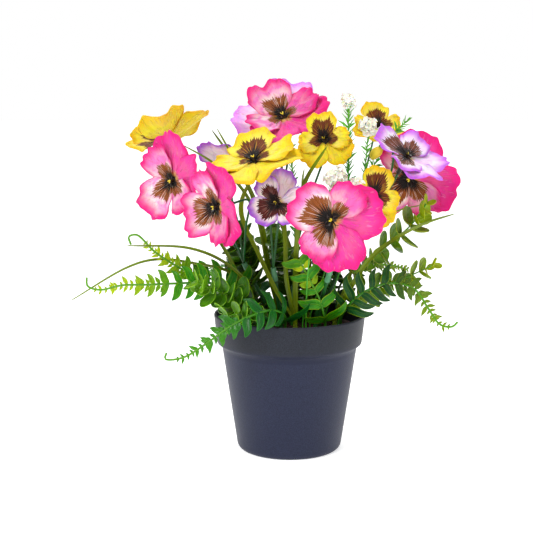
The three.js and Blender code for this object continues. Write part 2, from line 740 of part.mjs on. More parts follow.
// Corners of a leaf are counted from its two root points. Its outline starts on the side of root 1.
const NEEDLE_SHEET = [[0, 1, 2]];
const LEAFLET_SHEET = [[0, 1, 2], [0, 2, 3], [3, 2, 4]];
const OVAL_SHEET = [[0, 1, 4], [1, 2, 4], [0, 4, 3], [2, 5, 4], [4, 5, 6], [4, 6, 3], [5, 7, 6]];

// What a leaf tries when it has no room: [scale, bend] of a leaflet and [scale, turn aside] of an oval leaf.
const LEAFLET_TRIES = [[1, 0], [1, -0.25], [1, 0.25], [0.7, 0], [0.7, -0.3], [0.7, 0.3]];
const OVAL_TRIES = [[1, 0], [1, 24], [1, -24], [1, 48], [1, -48],
  [0.75, 0], [0.75, 30], [0.75, -30], [0.75, 60], [0.75, -60]];

// The stem is a ribbon of stations, and a leaf grows from the edge of a short stretch of it.
// Each growth has its place u along the stem and the leaves there, one to a side of the ribbon.
// A leaf lists its outline as it would lie best, then turned aside or smaller. The first that is clear of
// the pieces around it is used, and a leaf that has no room is left off.
function leafyStem(path, rib, growths, bareEnd) {
  const points = [];
  const thick = [];
  const faces = [];
  const add = (point, thickness) => {
    points.push(point);
    thick.push(thickness);
    return points.length - 1;
  };
  const stations = [];
  const join = (u) => {
    const frame = along(path, Math.min(1, u));
    const half = rib.halfWidth * (1 - 0.35 * u);
    const next = [-half, half].map((side) => add(offset(frame, side, 0), rib.thickness));
    const last = stations.at(-1);
    if (last) {
      faces.push([last[0], next[0], next[1]], [last[0], next[1], last[1]]);
    }
    stations.push(next);
    return next;
  };
  const bare = 4;
  const first = growths[0].u;
  for (let k = 0; k < bare; k += 1) {
    join((first * k) / bare);
  }
  const stalk = rib.stalk / path.curve.getLength();
  for (const { u, leaves } of growths) {
    const before = join(u - stalk);
    const after = join(u + stalk);
    for (const { sign, sheet, tries } of leaves) {
      const root = sign < 0 ? [after[0], before[0]] : [before[1], after[1]];
      const corners = root.map((i) => points[i]);
      const fits = (rim) => isClear(blade([...corners, ...rim], sheet, () => LEAF_THICKNESS + 2 * GAP));
      const rim = tries.find(fits);
      if (rim) {
        const ids = [...root, ...rim.map((point) => add(point, LEAF_THICKNESS))];
        faces.push(...sheet.map((face) => face.map((corner) => ids[corner])));
      }
    }
  }
  const start = growths.at(-1).u + stalk;
  for (let k = 1; k <= bareEnd; k += 1) {
    join(start + ((1 - start) * k) / bareEnd);
  }
  return blade(points, faces, (i) => thick[i]);
}

// A leaflet spreads to one side of its frond and leans towards the frond's tip.
function leaflet(frame, sign, length, width, droop) {
  const out = frame.side.clone().multiplyScalar(sign).addScaledVector(frame.ahead, 0.55).normalize();
  const across = frame.ahead.clone().addScaledVector(out, -frame.ahead.dot(out)).normalize();
  const point = (reach, wide, rise) => frame.at.clone()
    .addScaledVector(out, reach * length)
    .addScaledVector(across, wide)
    .addScaledVector(frame.front, rise * length);
  const half = (sign * width) / 2;
  return [point(LEAF_BELLY, half, 0.03), point(LEAF_BELLY, -half, 0.03), point(1, 0, -droop)];
}

function makeFrond(name, frond) {
  const path = spine(rooted(frond.foot, frond.points), frond.face);
  const growths = [];
  for (let k = 0; k < frond.pairs; k += 1) {
    const share = k / (frond.pairs - 1);
    const u = frond.from + (frond.to - frond.from) * share;
    const frame = along(path, u);
    const size = frond.base + (frond.tip - frond.base) * share;
    const leaves = [-1, 1].map((sign) => {
      const length = size * (1 + 0.1 * vary(k, sign));
      const width = 0.34 + 0.2 * share;
      const droop = 0.14 + 0.08 * vary(k, sign + 2);
      const tries = LEAFLET_TRIES.map(([scale, bend]) => (
        leaflet(frame, sign, length * scale, length * scale * width, droop + bend)
      ));
      return { sign, sheet: LEAFLET_SHEET, tries };
    });
    growths.push({ u, leaves });
  }
  place(name, leafyStem(path, FROND_RIB, growths, 5), fernGreen);
}

// An oval leaf, cupped along its middle, that leaves the stem at a turn round it.
function ovalLeaf(frame, sign, length, width, turn, rise) {
  const round = THREE.MathUtils.degToRad(turn);
  const away = frame.side.clone().multiplyScalar(sign * Math.cos(round))
    .addScaledVector(frame.front, sign * Math.sin(round));
  const out = away.clone().addScaledVector(frame.ahead, rise).normalize();
  const front = frame.ahead.clone().addScaledVector(away, -rise).normalize();
  const across = out.clone().cross(front).normalize();
  const far = across.dot(frame.ahead) < 0 ? -1 : 1;
  const cup = width * 0.12;
  const point = (reach, wide, height) => frame.at.clone()
    .addScaledVector(out, reach * length)
    .addScaledVector(across, wide * width * far * sign)
    .addScaledVector(front, height * cup);
  return [
    point(LEAF_BELLY, 0.46, 0.6),
    point(LEAF_BELLY, -0.46, 0.6),
    point(LEAF_BELLY, 0, -0.6),
    point(0.76, 0.4, 0.8),
    point(0.76, -0.4, 0.8),
    point(1, 0, 1),
  ];
}

function makeSprig(name, sprig) {
  const path = spine(rooted(sprig.foot, sprig.points), sprig.face);
  const growths = sprig.pairs.map(([u, length, width, turn, rise]) => {
    const frame = along(path, u);
    const leaves = [-1, 1].map((sign) => {
      const tries = OVAL_TRIES.map(([scale, aside]) => (
        ovalLeaf(frame, sign, length * scale, width * scale, turn + aside, rise)
      ));
      return { sign, sheet: OVAL_SHEET, tries };
    });
    return { u, leaves };
  });
  place(name, leafyStem(path, SPRIG_RIB, growths, 1), leafGreen);
}

// ---------------------------------------------------------------- grass

function grassBlade(foot, points, halfWidth) {
  const tip = points.at(-1);
  const lean = vec(tip[0] - foot[0], tip[1] - foot[1], 0).normalize();
  const path = spine(rooted(foot, points), [lean.x * 0.3, lean.y * 0.3 - 0.6, 0.75]);
  const steps = 7;
  const rings = [];
  for (let step = 0; step <= steps; step += 1) {
    const u = step / steps;
    const frame = along(path, u);
    const wide = Math.max(0.35, halfWidth * Math.min(1, 0.45 + 2 * u) * Math.min(1, 2.6 * (1 - u)));
    const deep = Math.max(0.5, BLADE_DEPTH * Math.min(1, 3 * (1 - u)));
    rings.push([offset(frame, wide, 0), offset(frame, 0, -deep), offset(frame, -wide, 0)]);
  }
  return loft(rings);
}

function makeTuft(name, tuft) {
  const [x, y] = tuft.foot;
  const wide = CROWN_RADIUS - GAP;
  const profile = [[0, STEM_START], [wide, STEM_START], [wide, SOIL_HEIGHT + 4], [1.5, SOIL_HEIGHT + 8],
    [0, SOIL_HEIGHT + 8]];
  const crown = turned(profile, 6, vec(x, y, 0), vec(0, 0, 1));
  const blades = tuft.blades.map(([halfWidth, points]) => grassBlade(tuft.foot, points, halfWidth));
  place(name, fuse([crown, ...blades]), grassOlive);
}

// ---------------------------------------------------------------- sprays

function needle(frame, sign, turn, length) {
  const out = frame.side.clone().multiplyScalar(sign * Math.cos(turn))
    .addScaledVector(frame.front, sign * Math.sin(turn))
    .addScaledVector(frame.ahead, 0.75)
    .normalize();
  const tip = frame.at.clone().addScaledVector(out, length);
  return { sign, sheet: NEEDLE_SHEET, tries: [[tip]] };
}

// A head is a ball whose alternate points stand out as florets.
function floretHead(at, radius) {
  const ball = new THREE.IcosahedronGeometry(radius, 1);
  const tips = new THREE.IcosahedronGeometry(radius, 0).attributes.position;
  const isTip = (point) => {
    for (let i = 0; i < tips.count; i += 1) {
      if (point.distanceTo(vec(tips.getX(i), tips.getY(i), tips.getZ(i))) < 0.01) {
        return true;
      }
    }
    return false;
  };
  const position = ball.attributes.position;
  for (let i = 0; i < position.count; i += 1) {
    const point = vec(position.getX(i), position.getY(i), position.getZ(i));
    point.multiplyScalar(isTip(point) ? 1.05 : 0.72).add(vec(...at));
    position.setXYZ(i, point.x, point.y, point.z);
  }
  return solidOf(ball);
}

function makeSpray(name, spray) {
  const { head } = spray;
  const points = head ? [...spray.points, head.at] : spray.points;
  const path = spine(rooted(spray.foot, points), SPRAY_FACE);
  const { from, to, count, length } = spray.needles;
  const growths = [];
  for (let k = 0; k < count; k += 1) {
    const u = from + ((to - from) * k) / (count - 1);
    const frame = along(path, u);
    const leaves = [-1, 1].map((sign) => needle(frame, sign, k * 1.2, length * (1 + 0.15 * vary(k, sign))));
    growths.push({ u, leaves });
  }
  place(name, leafyStem(path, SPRAY_RIB, growths, 2), sprayGreen);
  if (head) {
    const heart = vec(...head.at);
    const wide = SPRAY_RIB.thickness / 2 + 2 * GAP;
    const bore = rod(path, () => wide, 12, 4);
    const end = turned([[0, -wide], [wide, -wide], [wide, wide], [0, wide]], 5, heart, vec(0, 0, 1));
    const florets = floretHead(head.at, head.radius).subtract(bore).subtract(end);
    place(name.replace('spray', 'florets'), florets, floretWhite);
  }
}

// ---------------------------------------------------------------- assembly

makePot();
makeSoil();
Object.entries(PICKS).forEach(([name, pick]) => makePick(name, pick));
Object.entries(BLOOMS).forEach(([name, bloom]) => makePetals(name, bloom));
makeBackLayer();
makeBud();
Object.entries(TUFTS).forEach(([name, tuft]) => makeTuft(name, tuft));
Object.entries(SPRAYS).forEach(([name, spray]) => makeSpray(name, spray));
Object.entries(SPRIGS).forEach(([name, sprig]) => makeSprig(name, sprig));
Object.entries(FRONDS).forEach(([name, frond]) => makeFrond(name, frond));

export default planter;
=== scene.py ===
# %% [markdown]
# # Dressing a potted pansy planter
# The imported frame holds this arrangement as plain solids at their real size: a nursery pot with its soil,
# wire picks with their blooms, fern fronds, leafy sprigs, grass blades and floret sprays.
# This lesson dresses each of them. The solids could be subdivided and displaced, but a faceted leaf stays
# a faceted leaf. So each piece is made again, finely, from the same few points and the same rule as its
# solid, and then stands in for that solid.
#
# The planter's measures are written in millimetres, as a maker would take them. MM turns them into the
# metres that Blender counts in.

import math

import bmesh
import bpy
import numpy as np
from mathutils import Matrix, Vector
from mathutils.kdtree import KDTree


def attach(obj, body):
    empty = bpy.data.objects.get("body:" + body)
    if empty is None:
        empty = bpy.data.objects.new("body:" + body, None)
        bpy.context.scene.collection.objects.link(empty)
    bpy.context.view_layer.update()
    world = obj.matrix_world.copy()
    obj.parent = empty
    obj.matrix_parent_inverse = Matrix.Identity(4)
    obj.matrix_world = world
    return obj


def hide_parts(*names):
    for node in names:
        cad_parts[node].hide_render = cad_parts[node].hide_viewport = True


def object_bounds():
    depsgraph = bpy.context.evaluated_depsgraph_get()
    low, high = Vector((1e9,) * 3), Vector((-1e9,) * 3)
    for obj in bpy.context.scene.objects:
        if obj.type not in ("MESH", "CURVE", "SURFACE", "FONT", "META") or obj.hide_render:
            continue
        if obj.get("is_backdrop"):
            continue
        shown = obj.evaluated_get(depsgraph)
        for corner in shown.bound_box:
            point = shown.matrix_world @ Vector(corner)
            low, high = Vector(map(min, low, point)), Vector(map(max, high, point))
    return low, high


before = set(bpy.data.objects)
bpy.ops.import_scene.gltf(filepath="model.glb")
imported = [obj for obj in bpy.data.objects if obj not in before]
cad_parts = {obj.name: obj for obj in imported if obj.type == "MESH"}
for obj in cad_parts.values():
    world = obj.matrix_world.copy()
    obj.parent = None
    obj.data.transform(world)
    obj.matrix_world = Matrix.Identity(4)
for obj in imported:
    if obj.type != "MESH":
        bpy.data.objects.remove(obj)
cad_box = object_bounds()
MM = 0.001
BODY = "root"
print("nodes in the frame:", len(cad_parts))

# %% [markdown]
# ## Camera
# The camera stands in front of the planter, a little above its middle, and looks slightly down into the pot.
# A long lens keeps the pot's sides from spreading. It could be aimed with a constraint, but a fixed place
# and tilt are easier to read.

# %% Place the camera
CAMERA_AT = (-18.3, -880.0, 285.0)
CAMERA_TILT = 81.02
CAMERA_LENS = 76.13
SENSOR_WIDTH = 36.0


def in_scene(name, data):
    """A new object that holds this data and stands in the scene."""
    made = bpy.data.objects.new(name, data)
    bpy.context.scene.collection.objects.link(made)
    return made


camera_data = bpy.data.cameras.new("camera")
camera_data.lens = CAMERA_LENS
camera_data.sensor_width = SENSOR_WIDTH
camera = in_scene("camera", camera_data)
camera.location = [MM * c for c in CAMERA_AT]
camera.rotation_euler = (math.radians(CAMERA_TILT), 0, 0)
bpy.context.scene.camera = camera
print("camera stands", round(-camera.location.y, 3), "m in front of the pot")

# %% [markdown]
# ## Mesh stock
# Petals, leaves, tubes and pots are all grids of points with four-sided faces between them. One small class
# collects the grids of a piece. Geometry nodes or curve bevels could do it, but arrays say exactly where
# each point goes. Every grid here closes round on itself, so the last column joins the first.
#
# Each grid also carries notes for the materials. "place" tells where a point lies on its own leaf or petal,
# across and along it. "kind" tells how far along its stem the leaf grows, and a chance value of its own.
# "tint" tells how pale and how deeply edged a petal is.

# %% Collect grids of points
class Stock:
    """Grids of points that become one piece."""

    def __init__(self):
        self.points, self.faces, self.place, self.kind, self.paint = [], [], [], [], []
        self.count = 0

    def grid(self, points, place=None, kind=(0.0, 0.0), paint=0):
        """Adds rows of points. Each row's end joins its start."""
        rows, columns = points.shape[:2]
        ids = self.count + np.arange(rows * columns).reshape(rows, columns)
        ids = np.hstack([ids, ids[:, :1]])
        if place is None:
            place = np.stack(np.meshgrid(np.linspace(0, 1, columns + 1), np.linspace(0, 1, rows)), axis=-1)
        corners = [(0, 0), (0, 1), (1, 1), (1, 0)]
        spans = [(slice(a, a + rows - 1), slice(b, b + columns)) for a, b in corners]
        self.faces.append(np.stack([ids[span] for span in spans], axis=-1).reshape(-1, 4))
        self.place.append(np.stack([place[span] for span in spans], axis=2).reshape(-1, 2))
        self.kind.append(np.tile([*kind, 0.0, 0.0][:4], (self.faces[-1].size, 1)))
        self.paint.append(np.full(len(self.faces[-1]), paint))
        self.points.append(points.reshape(-1, 3))
        self.count += rows * columns


print("a stock starts with", Stock().count, "points")

# %% [markdown]
# The grids become one mesh, and the notes become its UV maps. Points that lie on each other are welded, so
# that light rolls over the seams, and only real corners stay sharp. Writing whole arrays at once is far
# quicker than adding one face at a time.

# %% Weld the grids into a mesh
SHARP_ANGLE = math.radians(58)
WELD = 2e-6


def weld(stock, name):
    faces, kind = np.vstack(stock.faces), np.vstack(stock.kind)
    mesh = bpy.data.meshes.new(name)
    mesh.vertices.add(stock.count)
    mesh.vertices.foreach_set("co", (np.vstack(stock.points) * MM).ravel())
    mesh.loops.add(faces.size)
    mesh.loops.foreach_set("vertex_index", faces.ravel())
    mesh.polygons.add(len(faces))
    mesh.polygons.foreach_set("loop_start", np.arange(0, faces.size, 4))
    mesh.polygons.foreach_set("material_index", np.concatenate(stock.paint))
    for layer, values in (("place", np.vstack(stock.place)), ("kind", kind[:, :2]), ("tint", kind[:, 2:])):
        mesh.uv_layers.new(name=layer).data.foreach_set("uv", values.ravel())
    mesh.update(calc_edges=True)
    welded = bmesh.new()
    welded.from_mesh(mesh)
    bmesh.ops.remove_doubles(welded, verts=welded.verts, dist=WELD)
    bmesh.ops.recalc_face_normals(welded, faces=welded.faces)
    welded.to_mesh(mesh)
    welded.free()
    mesh.shade_smooth()
    mesh.set_sharp_from_angle(angle=SHARP_ANGLE)
    return mesh


print("points closer than", WELD, "m are welded")

# %% [markdown]
# Each finished piece rides on the planter's one body, takes its finishes, and stands in for
# its solid. Changing the solid's own mesh would be shorter, but then its true size would be lost.

# %% Put a piece in place
def put(stock, node, materials):
    mesh = weld(stock, node + "_fine")
    for material in materials:
        mesh.materials.append(material)
    piece = in_scene(mesh.name, mesh)
    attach(piece, BODY)
    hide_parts(node)
    print(f"{mesh.name}: {sum(len(face.vertices) - 2 for face in mesh.polygons)} triangles")


print("every piece rides on", BODY)

# %% [markdown]
# ## Small helpers
# Directions are kept at length one. An even rise blends one shape into the next without a crease. Real leaves
# are never alike, so small differences come from sines of the piece's name and number. Random numbers would
# do as well, but sines give the same plant each time.

# %% Measure and vary
def unit(vectors):
    """Vectors of length one."""
    return vectors / np.linalg.norm(vectors, axis=-1, keepdims=True)


def swing(first, second, turn):
    """The direction reached by turning from first towards second."""
    return first * math.cos(turn) + second * math.sin(turn)


def smooth(value, low=0.0, high=1.0):
    """An even rise from 0 at low to 1 at high."""
    share = np.clip((value - low) / (high - low), 0, 1)
    return share * share * (3 - 2 * share)


def vary(index, salt):
    """A small repeatable difference, from -1 to 1, between like leaves."""
    return math.sin(index * 2.4 + salt * 1.7)


def chance_of(name, index=0):
    """A repeatable value from 0 to 1 for one leaf of a named piece."""
    code = sum(ord(letter) * (place + 3) for place, letter in enumerate(name))
    return (math.sin(code * 0.37 + index * 2.1) * 43.7) % 1


print("the first leaf's chance:", round(chance_of("leaf"), 3))

# %% [markdown]
# ## Lines that the stems follow
# Every stem, frond and blade runs along a centripetal Catmull-Rom line through a few points, the same line
# that its solid follows. Such a line never loops or overshoots between points that stand close together.
# At any share u of its length it gives a place, the way ahead, and a side and a front square to it.

# %% Follow a line
LINE_STEPS = np.linspace(0, 1, 201)
TANGENT_STEP = 1e-4


class Line:
    def __init__(self, points, face=(0.25, -0.93, 0.1)):
        self.points = np.array(points, float)
        self.face = unit(np.array(face, float))
        chords = np.linalg.norm(np.diff(self.by_turn(LINE_STEPS), axis=0), axis=1)
        self.travel = np.concatenate([[0], np.cumsum(chords)])
        self.length = self.travel[-1]

    def by_turn(self, t):
        """The place at each t, which counts every stretch between two points as equally long."""
        last = len(self.points) - 1
        before_first = 2 * self.points[0] - self.points[1]
        after_last = 2 * self.points[-1] - self.points[-2]
        around = np.vstack([[before_first], self.points, [after_last]])
        place = np.clip(t, 0, 1) * last
        start = np.minimum(place.astype(int), last - 1)
        a, b, c, d = (around[start + step] for step in range(4))
        w = (place - start)[:, None]
        before, here, after = (np.sum(v * v, axis=1)[:, None] ** 0.25 for v in (b - a, c - b, d - c))
        leave = here * ((b - a) / before - (c - a) / (before + here) + (c - b) / here)
        reach = here * ((c - b) / here - (d - b) / (here + after) + (d - c) / after)
        return b + w * (leave + w * (3 * (c - b) - 2 * leave - reach + w * (2 * (b - c) + leave + reach)))

    def frames(self, u):
        """Place, ahead, side and front for each share u."""
        t = np.interp(np.atleast_1d(u) * self.length, self.travel, LINE_STEPS)
        ahead = self.by_turn(np.minimum(t + TANGENT_STEP, 1)) - self.by_turn(np.maximum(t - TANGENT_STEP, 0))
        ahead = unit(ahead)
        side = unit(np.cross(ahead, self.face))
        return self.by_turn(t), ahead, side, np.cross(side, ahead)

    def frame(self, u):
        """The same for a single share u."""
        return [values[0] for values in self.frames(u)]


print("a straight stem of", Line([(0, 0, 0), (0, 0, 50), (0, 0, 90)]).length, "mm")

# %% [markdown]
# ## Tubes and turned shapes
# Covered wires and moulded stems are tubes along a line. Pots, sleeves and tubes behind the blooms are
# turned, like work on a lathe. Blender's Screw modifier would turn them too, but one grid is one less step.

# %% Draw tubes and turn profiles
def tube(stock, line, radius_at, steps, sides, kind=(0.0, 0.0), paint=0, start=0.0, flat=1.0):
    """A tube along a line, closed at both ends. flat squeezes it from front to back."""
    u = start + (1 - start) * np.linspace(0, 1, steps + 1)
    at, _, side, front = line.frames(u)
    radius = np.array([radius_at(share) for share in u])
    at, side, front = (np.vstack([v[:1], v, v[-1:]]) for v in (at, side, front))
    radius = np.concatenate([[0], radius, [0]])[:, None, None]
    turn = np.linspace(0, 2 * math.pi, sides, endpoint=False)
    sweep = side[:, None] * np.sin(turn)[:, None] + flat * front[:, None] * np.cos(turn)[:, None]
    across, along = np.meshgrid(np.linspace(0, 1, sides + 1), np.concatenate([[start], u, [1]]))
    stock.grid(at[:, None] + radius * sweep, np.stack([across, along], axis=-1), kind, paint)


def taper(radius, thins):
    """A radius that shrinks by the share thins towards the tip."""
    return lambda s: radius * (1 - thins * s)


def lathe(stock, profile, sides, at=(0, 0, 0), axis=(0, 0, 1), paint=0):
    """Pairs of radius and height turned about an axis."""
    axis = unit(np.array(axis, float))
    level = np.array([1.0, 0, 0]) if abs(axis[0]) < 0.8 else np.array([0, 1.0, 0])
    first = unit(np.cross(axis, level))
    second = np.cross(axis, first)
    radius, height = np.array(profile, float).T
    turn = np.linspace(0, 2 * math.pi, sides, endpoint=False)
    sweep = np.cos(turn)[:, None] * first + np.sin(turn)[:, None] * second
    points = np.array(at, float) + height[:, None, None] * axis + radius[:, None, None] * sweep
    stock.grid(points, paint=paint)


print("tubes and turned shapes are ready")

# %% [markdown]
# The stems of an artificial plant are pushed into holes in the soil plug. Each starts straight at the
# hole's end, so that it leaves the soil upright and only then bends away.

# %% Root the stems
SOIL_HEIGHT = 97.0
STEM_START = 73.3
UPRIGHT = (2, 8)


def rooted(foot, points):
    """A stem starts in its hole and rises straight through the soil's surface."""
    x, y = foot
    return [(x, y, STEM_START), *((x, y, SOIL_HEIGHT + rise) for rise in UPRIGHT), *points]


print("stems reach", round(SOIL_HEIGHT - STEM_START, 1), "mm into the soil")

# %% [markdown]
# ## A pen for shader nodes
# A finish is a small sum written in nodes. This pen writes such sums in one line each: it makes a node,
# plugs sockets or plain numbers into it, and hands back its result. The same could be drawn by hand in the
# shader editor, but then it couldn't be read from top to bottom.

# %% Write shader nodes
def dye(code):
    """A colour written as RRGGBB, as the renderer counts light."""
    levels = [int(code[i:i + 2], 16) / 255 for i in (0, 2, 4)]
    return tuple(v / 12.92 if v <= 0.04045 else ((v + 0.055) / 1.055) ** 2.4 for v in levels) + (1.0,)


class Pen:
    def __init__(self, tree):
        self.tree = tree

    def node(self, kind, settings=None, **inputs):
        made = self.tree.nodes.new("ShaderNode" + kind)
        for name, value in (settings or {}).items():
            setattr(made, name, value)
        for label, value in inputs.items():
            self.plug(made.inputs[label.replace("_", " ")], value)
        return made

    def plug(self, socket, value):
        if isinstance(value, bpy.types.NodeSocket):
            self.tree.links.new(value, socket)
        else:
            socket.default_value = value

    def math(self, operation, *values):
        made = self.node("Math", {"operation": operation})
        for socket, value in zip(made.inputs, values):
            self.plug(socket, value)
        return made.outputs[0]

    def times(self, first, second):
        return self.math("MULTIPLY", first, second)

    def shifted(self, value, factor, added):
        """value x factor + added."""
        return self.math("MULTIPLY_ADD", value, factor, added)

    def rise(self, value, low, high):
        """0 at low, 1 at high and an even change between them."""
        made = self.node("MapRange", {"interpolation_type": "SMOOTHSTEP"}, Value=value, From_Min=low, From_Max=high)
        return made.outputs[0]

    def blend(self, share, first, second):
        made = self.node("Mix", {"data_type": "RGBA"})
        for index, value in ((0, share), (6, first), (7, second)):
            self.plug(made.inputs[index], value)
        return made.outputs[2]

    def spot(self, x, y, z=0.0):
        return self.node("CombineXYZ", X=x, Y=y, Z=z).outputs[0]

    def noise(self, vector, scale=1.0, detail=2.0):
        return self.node("TexNoise", Vector=vector, Scale=scale, Detail=detail).outputs[0]

    def aside(self, across):
        """How far a point lies from the middle of its leaf: 0 in the middle, 1 at both edges."""
        return self.math("ABSOLUTE", self.shifted(across, 2.0, -1.0))

    def map(self, name):
        """The two values of a UV map."""
        made = self.node("SeparateXYZ", Vector=self.node("UVMap", {"uv_map": name}).outputs[0])
        return made.outputs[0], made.outputs[1]

    def place(self):
        return self.node("TexCoord").outputs["Object"]

    def use(self, group, **inputs):
        return self.node("Group", {"node_tree": group}, **inputs).outputs


print("the pen writes", round(dye("808080")[0], 3), "for a middle grey")

# %% [markdown]
# Effects that several finishes share are node groups with named inputs and outputs. A finish itself is a
# material: its colour, and its relief if it has one, are functions that take a pen. What is the same all
# over, such as roughness, is set straight on the shader.

# %% Start groups and finishes
def group(name, inputs, outputs):
    """An empty node group, its pen, its inputs and its outputs."""
    tree = bpy.data.node_groups.new(name, "ShaderNodeTree")
    for label, value in inputs.items():
        tree.interface.new_socket(label, in_out="INPUT", socket_type="NodeSocketFloat").default_value = value
    for label in outputs:
        tree.interface.new_socket(label, in_out="OUTPUT", socket_type="NodeSocketFloat")
    return tree, Pen(tree), tree.nodes.new("NodeGroupInput").outputs, tree.nodes.new("NodeGroupOutput").inputs


def finish(name, colour, roughness, relief=None, depth=0.0002, gloss=0.5, **own):
    """A material. Own settings are named after the shader's sockets."""
    material = bpy.data.materials.new(name)
    material.use_nodes = True
    pen = Pen(material.node_tree)
    shader = material.node_tree.nodes["Principled BSDF"]
    settings = {"Base_Color": colour, "Roughness": roughness, "Specular_IOR_Level": gloss, **own}
    for label, value in settings.items():
        pen.plug(shader.inputs[label.replace("_", " ")], value(pen) if callable(value) else value)
    if relief:
        made = pen.node("Bump", Height=relief(pen), Distance=depth)
        pen.plug(shader.inputs["Normal"], made.outputs[0])
    return material


print("a finish is a material with one shader")

# %% [markdown]
# ## Fine grain
# Moulded plastic, wire covering and soil all have a soft unevenness in height and in shade. It could be
# painted, but a noise in the object's own space has no seams and needs no unwrapping.

# %% Build the grain
grain, pen, given, result = group("fine_grain", {"Scale": 900.0, "Detail": 3.0}, ["Height", "Shade"])
speckle = pen.noise(pen.place(), given["Scale"], given["Detail"])
pen.plug(result["Height"], speckle)
pen.plug(result["Shade"], pen.rise(speckle, 0.3, 0.7))
print("grain gives", list(result.keys())[:2])

# %% [markdown]
# ## Leaf marks
# A moulded leaf has a paler rim, a midrib, side veins that slant towards its tip, and a mottle in its dye.
# All four follow from where a point lies on its own leaf. An image could hold them, but it would blur close
# by, and every leaf would look alike.

# %% Mark the leaves
leaf_marks, pen, given, result = group(
    "leaf_marks", {"Across": 0.5, "Along": 0.5, "Chance": 0.0, "Veins": 7.0}, ["Rim", "Midrib", "Veins", "Mottle"])
aside = pen.aside(given["Across"])
pen.plug(result["Rim"], pen.rise(aside, 0.78, 1.0))
pen.plug(result["Midrib"], pen.rise(aside, 0.16, 0.03))
slant = pen.shifted(aside, -0.22, given["Along"])
wave = pen.math("SINE", pen.times(pen.times(slant, given["Veins"]), 2 * math.pi))
pen.plug(result["Veins"], pen.rise(wave, 0.55, 1.0))
mottle = pen.noise(pen.spot(given["Across"], given["Along"], pen.times(given["Chance"], 37.0)), 2.6)
pen.plug(result["Mottle"], pen.rise(mottle, 0.35, 0.65))
print("leaf marks give rim, midrib, veins and mottle")

# %% [markdown]
# ## Rows of spikes
# The dark face of a pansy ends in pointed strokes of uneven length. On a fan-shaped petal each stroke runs
# straight out, along one value of "across". So a row of spikes is a zigzag over "across", and each spike's
# own number draws its length. "Mask" fills the petal up to the spikes, and "Line" marks a few thin ones.

# %% Build the spikes
spikes, pen, given, result = group(
    "spikes", {"Across": 0.5, "Along": 0.5, "Count": 15.0, "Base": 0.3, "Reach": 0.6, "Chance": 0.0},
    ["Mask", "Line"])
place = pen.shifted(given["Across"], given["Count"], pen.times(given["Chance"], 17.0))
point = pen.math("SUBTRACT", 1.0, pen.aside(pen.math("FRACT", place)))
stroke = pen.shifted(given["Chance"], 91.0, pen.math("FLOOR", place))
luck = pen.node("TexWhiteNoise", {"noise_dimensions": "1D"}, W=stroke).outputs["Value"]
length = pen.times(point, pen.shifted(luck, 0.65, 0.35))
edge = pen.shifted(pen.math("SUBTRACT", given["Reach"], given["Base"]), length, given["Base"])
pen.plug(result["Mask"], pen.rise(pen.math("SUBTRACT", edge, given["Along"]), -0.006, 0.016))
pen.plug(result["Line"], pen.times(pen.rise(point, 0.55, 0.95), pen.rise(luck, 0.58, 0.66)))
print("spikes take", list(given.keys())[:6])

# %% [markdown]
# ## The print on a petal
# Cloth pansies are printed. A brown blotch with a feathered edge lies round a yellow throat, black rays run
# out of the throat over it, and a few pale streaks part it. The cloth's rim is dyed deeper, its middle
# paler, and fine vein lines fan out. One group makes a mask of each, and the cloths then choose the dyes.

# %% Reach out from the throat
petal_print, pen, given, result = group(
    "petal_print", {"Across": 0.5, "Along": 0.5, "Reach": 0.6, "Chance": 0.0, "Edging": 0.5},
    ["Blotch", "Streaks", "Rays", "Rim", "Veins", "Clouds", "Middle", "Throat"])
across, along, chance = given["Across"], given["Along"], given["Chance"]
aside = pen.aside(across)
seed = pen.times(chance, 53.0)
lobes = pen.noise(pen.spot(pen.times(across, 4.0), 0.0, seed), 1.0, 1.0)
round_off = pen.shifted(pen.times(aside, aside), -0.3, 1.0)
reach = pen.times(given["Reach"], pen.times(round_off, pen.math("ADD", lobes, 0.5)))


def strokes(count, base, tip, output="Mask"):
    """One row of strokes that reach between two shares of the blotch's reach."""
    low, high = (pen.times(reach, share) for share in (base, tip))
    return pen.use(spikes, Across=across, Along=along, Count=count, Base=low, Reach=high, Chance=chance)[output]


blotch = pen.math("MAXIMUM", strokes(17.0, 0.7, 1.04), strokes(29.0, 0.76, 0.96))
rays = pen.math("MAXIMUM", strokes(13.0, 0.14, 0.74), strokes(23.0, 0.2, 0.52))
printed = pen.rise(given["Reach"], 0.02, 0.1)
pen.plug(result["Blotch"], pen.times(blotch, printed))
pen.plug(result["Rays"], pen.times(rays, printed))
inside = pen.times(pen.rise(along, 0.12, 0.24), pen.rise(along, 0.62, 0.34))
pen.plug(result["Streaks"], pen.times(strokes(27.0, 0.5, 1.0, "Line"), inside))
pen.plug(result["Throat"], pen.rise(along, 0.16, 0.04))
print("two rows of strokes feather the blotch, and two more draw the rays")

# %% [markdown]
# The rest of the print follows the petal's outline. The rim's dye creeps in unevenly, as it does when cloth
# is dipped. Stretched noise makes the veins, and broad noise the clouds of dye.

# %% Shade the cloth around the print
outward = pen.math("MAXIMUM", along, pen.times(aside, 0.94))
rim_from = pen.shifted(given["Edging"], -0.3, 1.0)
pen.plug(result["Rim"], pen.rise(pen.shifted(lobes, 0.16, outward), rim_from, 1.07))
fans = pen.spot(pen.times(across, 34.0), pen.times(along, 5.0), seed)
pen.plug(result["Veins"], pen.rise(pen.noise(fans, 1.0, 4.0), 0.55, 0.68))
clouds = pen.noise(pen.spot(across, along, seed), 3.2, 3.0)
pen.plug(result["Clouds"], pen.rise(clouds, 0.36, 0.64))
pen.plug(result["Middle"], pen.rise(pen.shifted(clouds, 0.5, along), 1.26, 0.8))
print("shared effects:", [made.name for made in (grain, leaf_marks, spikes, petal_print)])

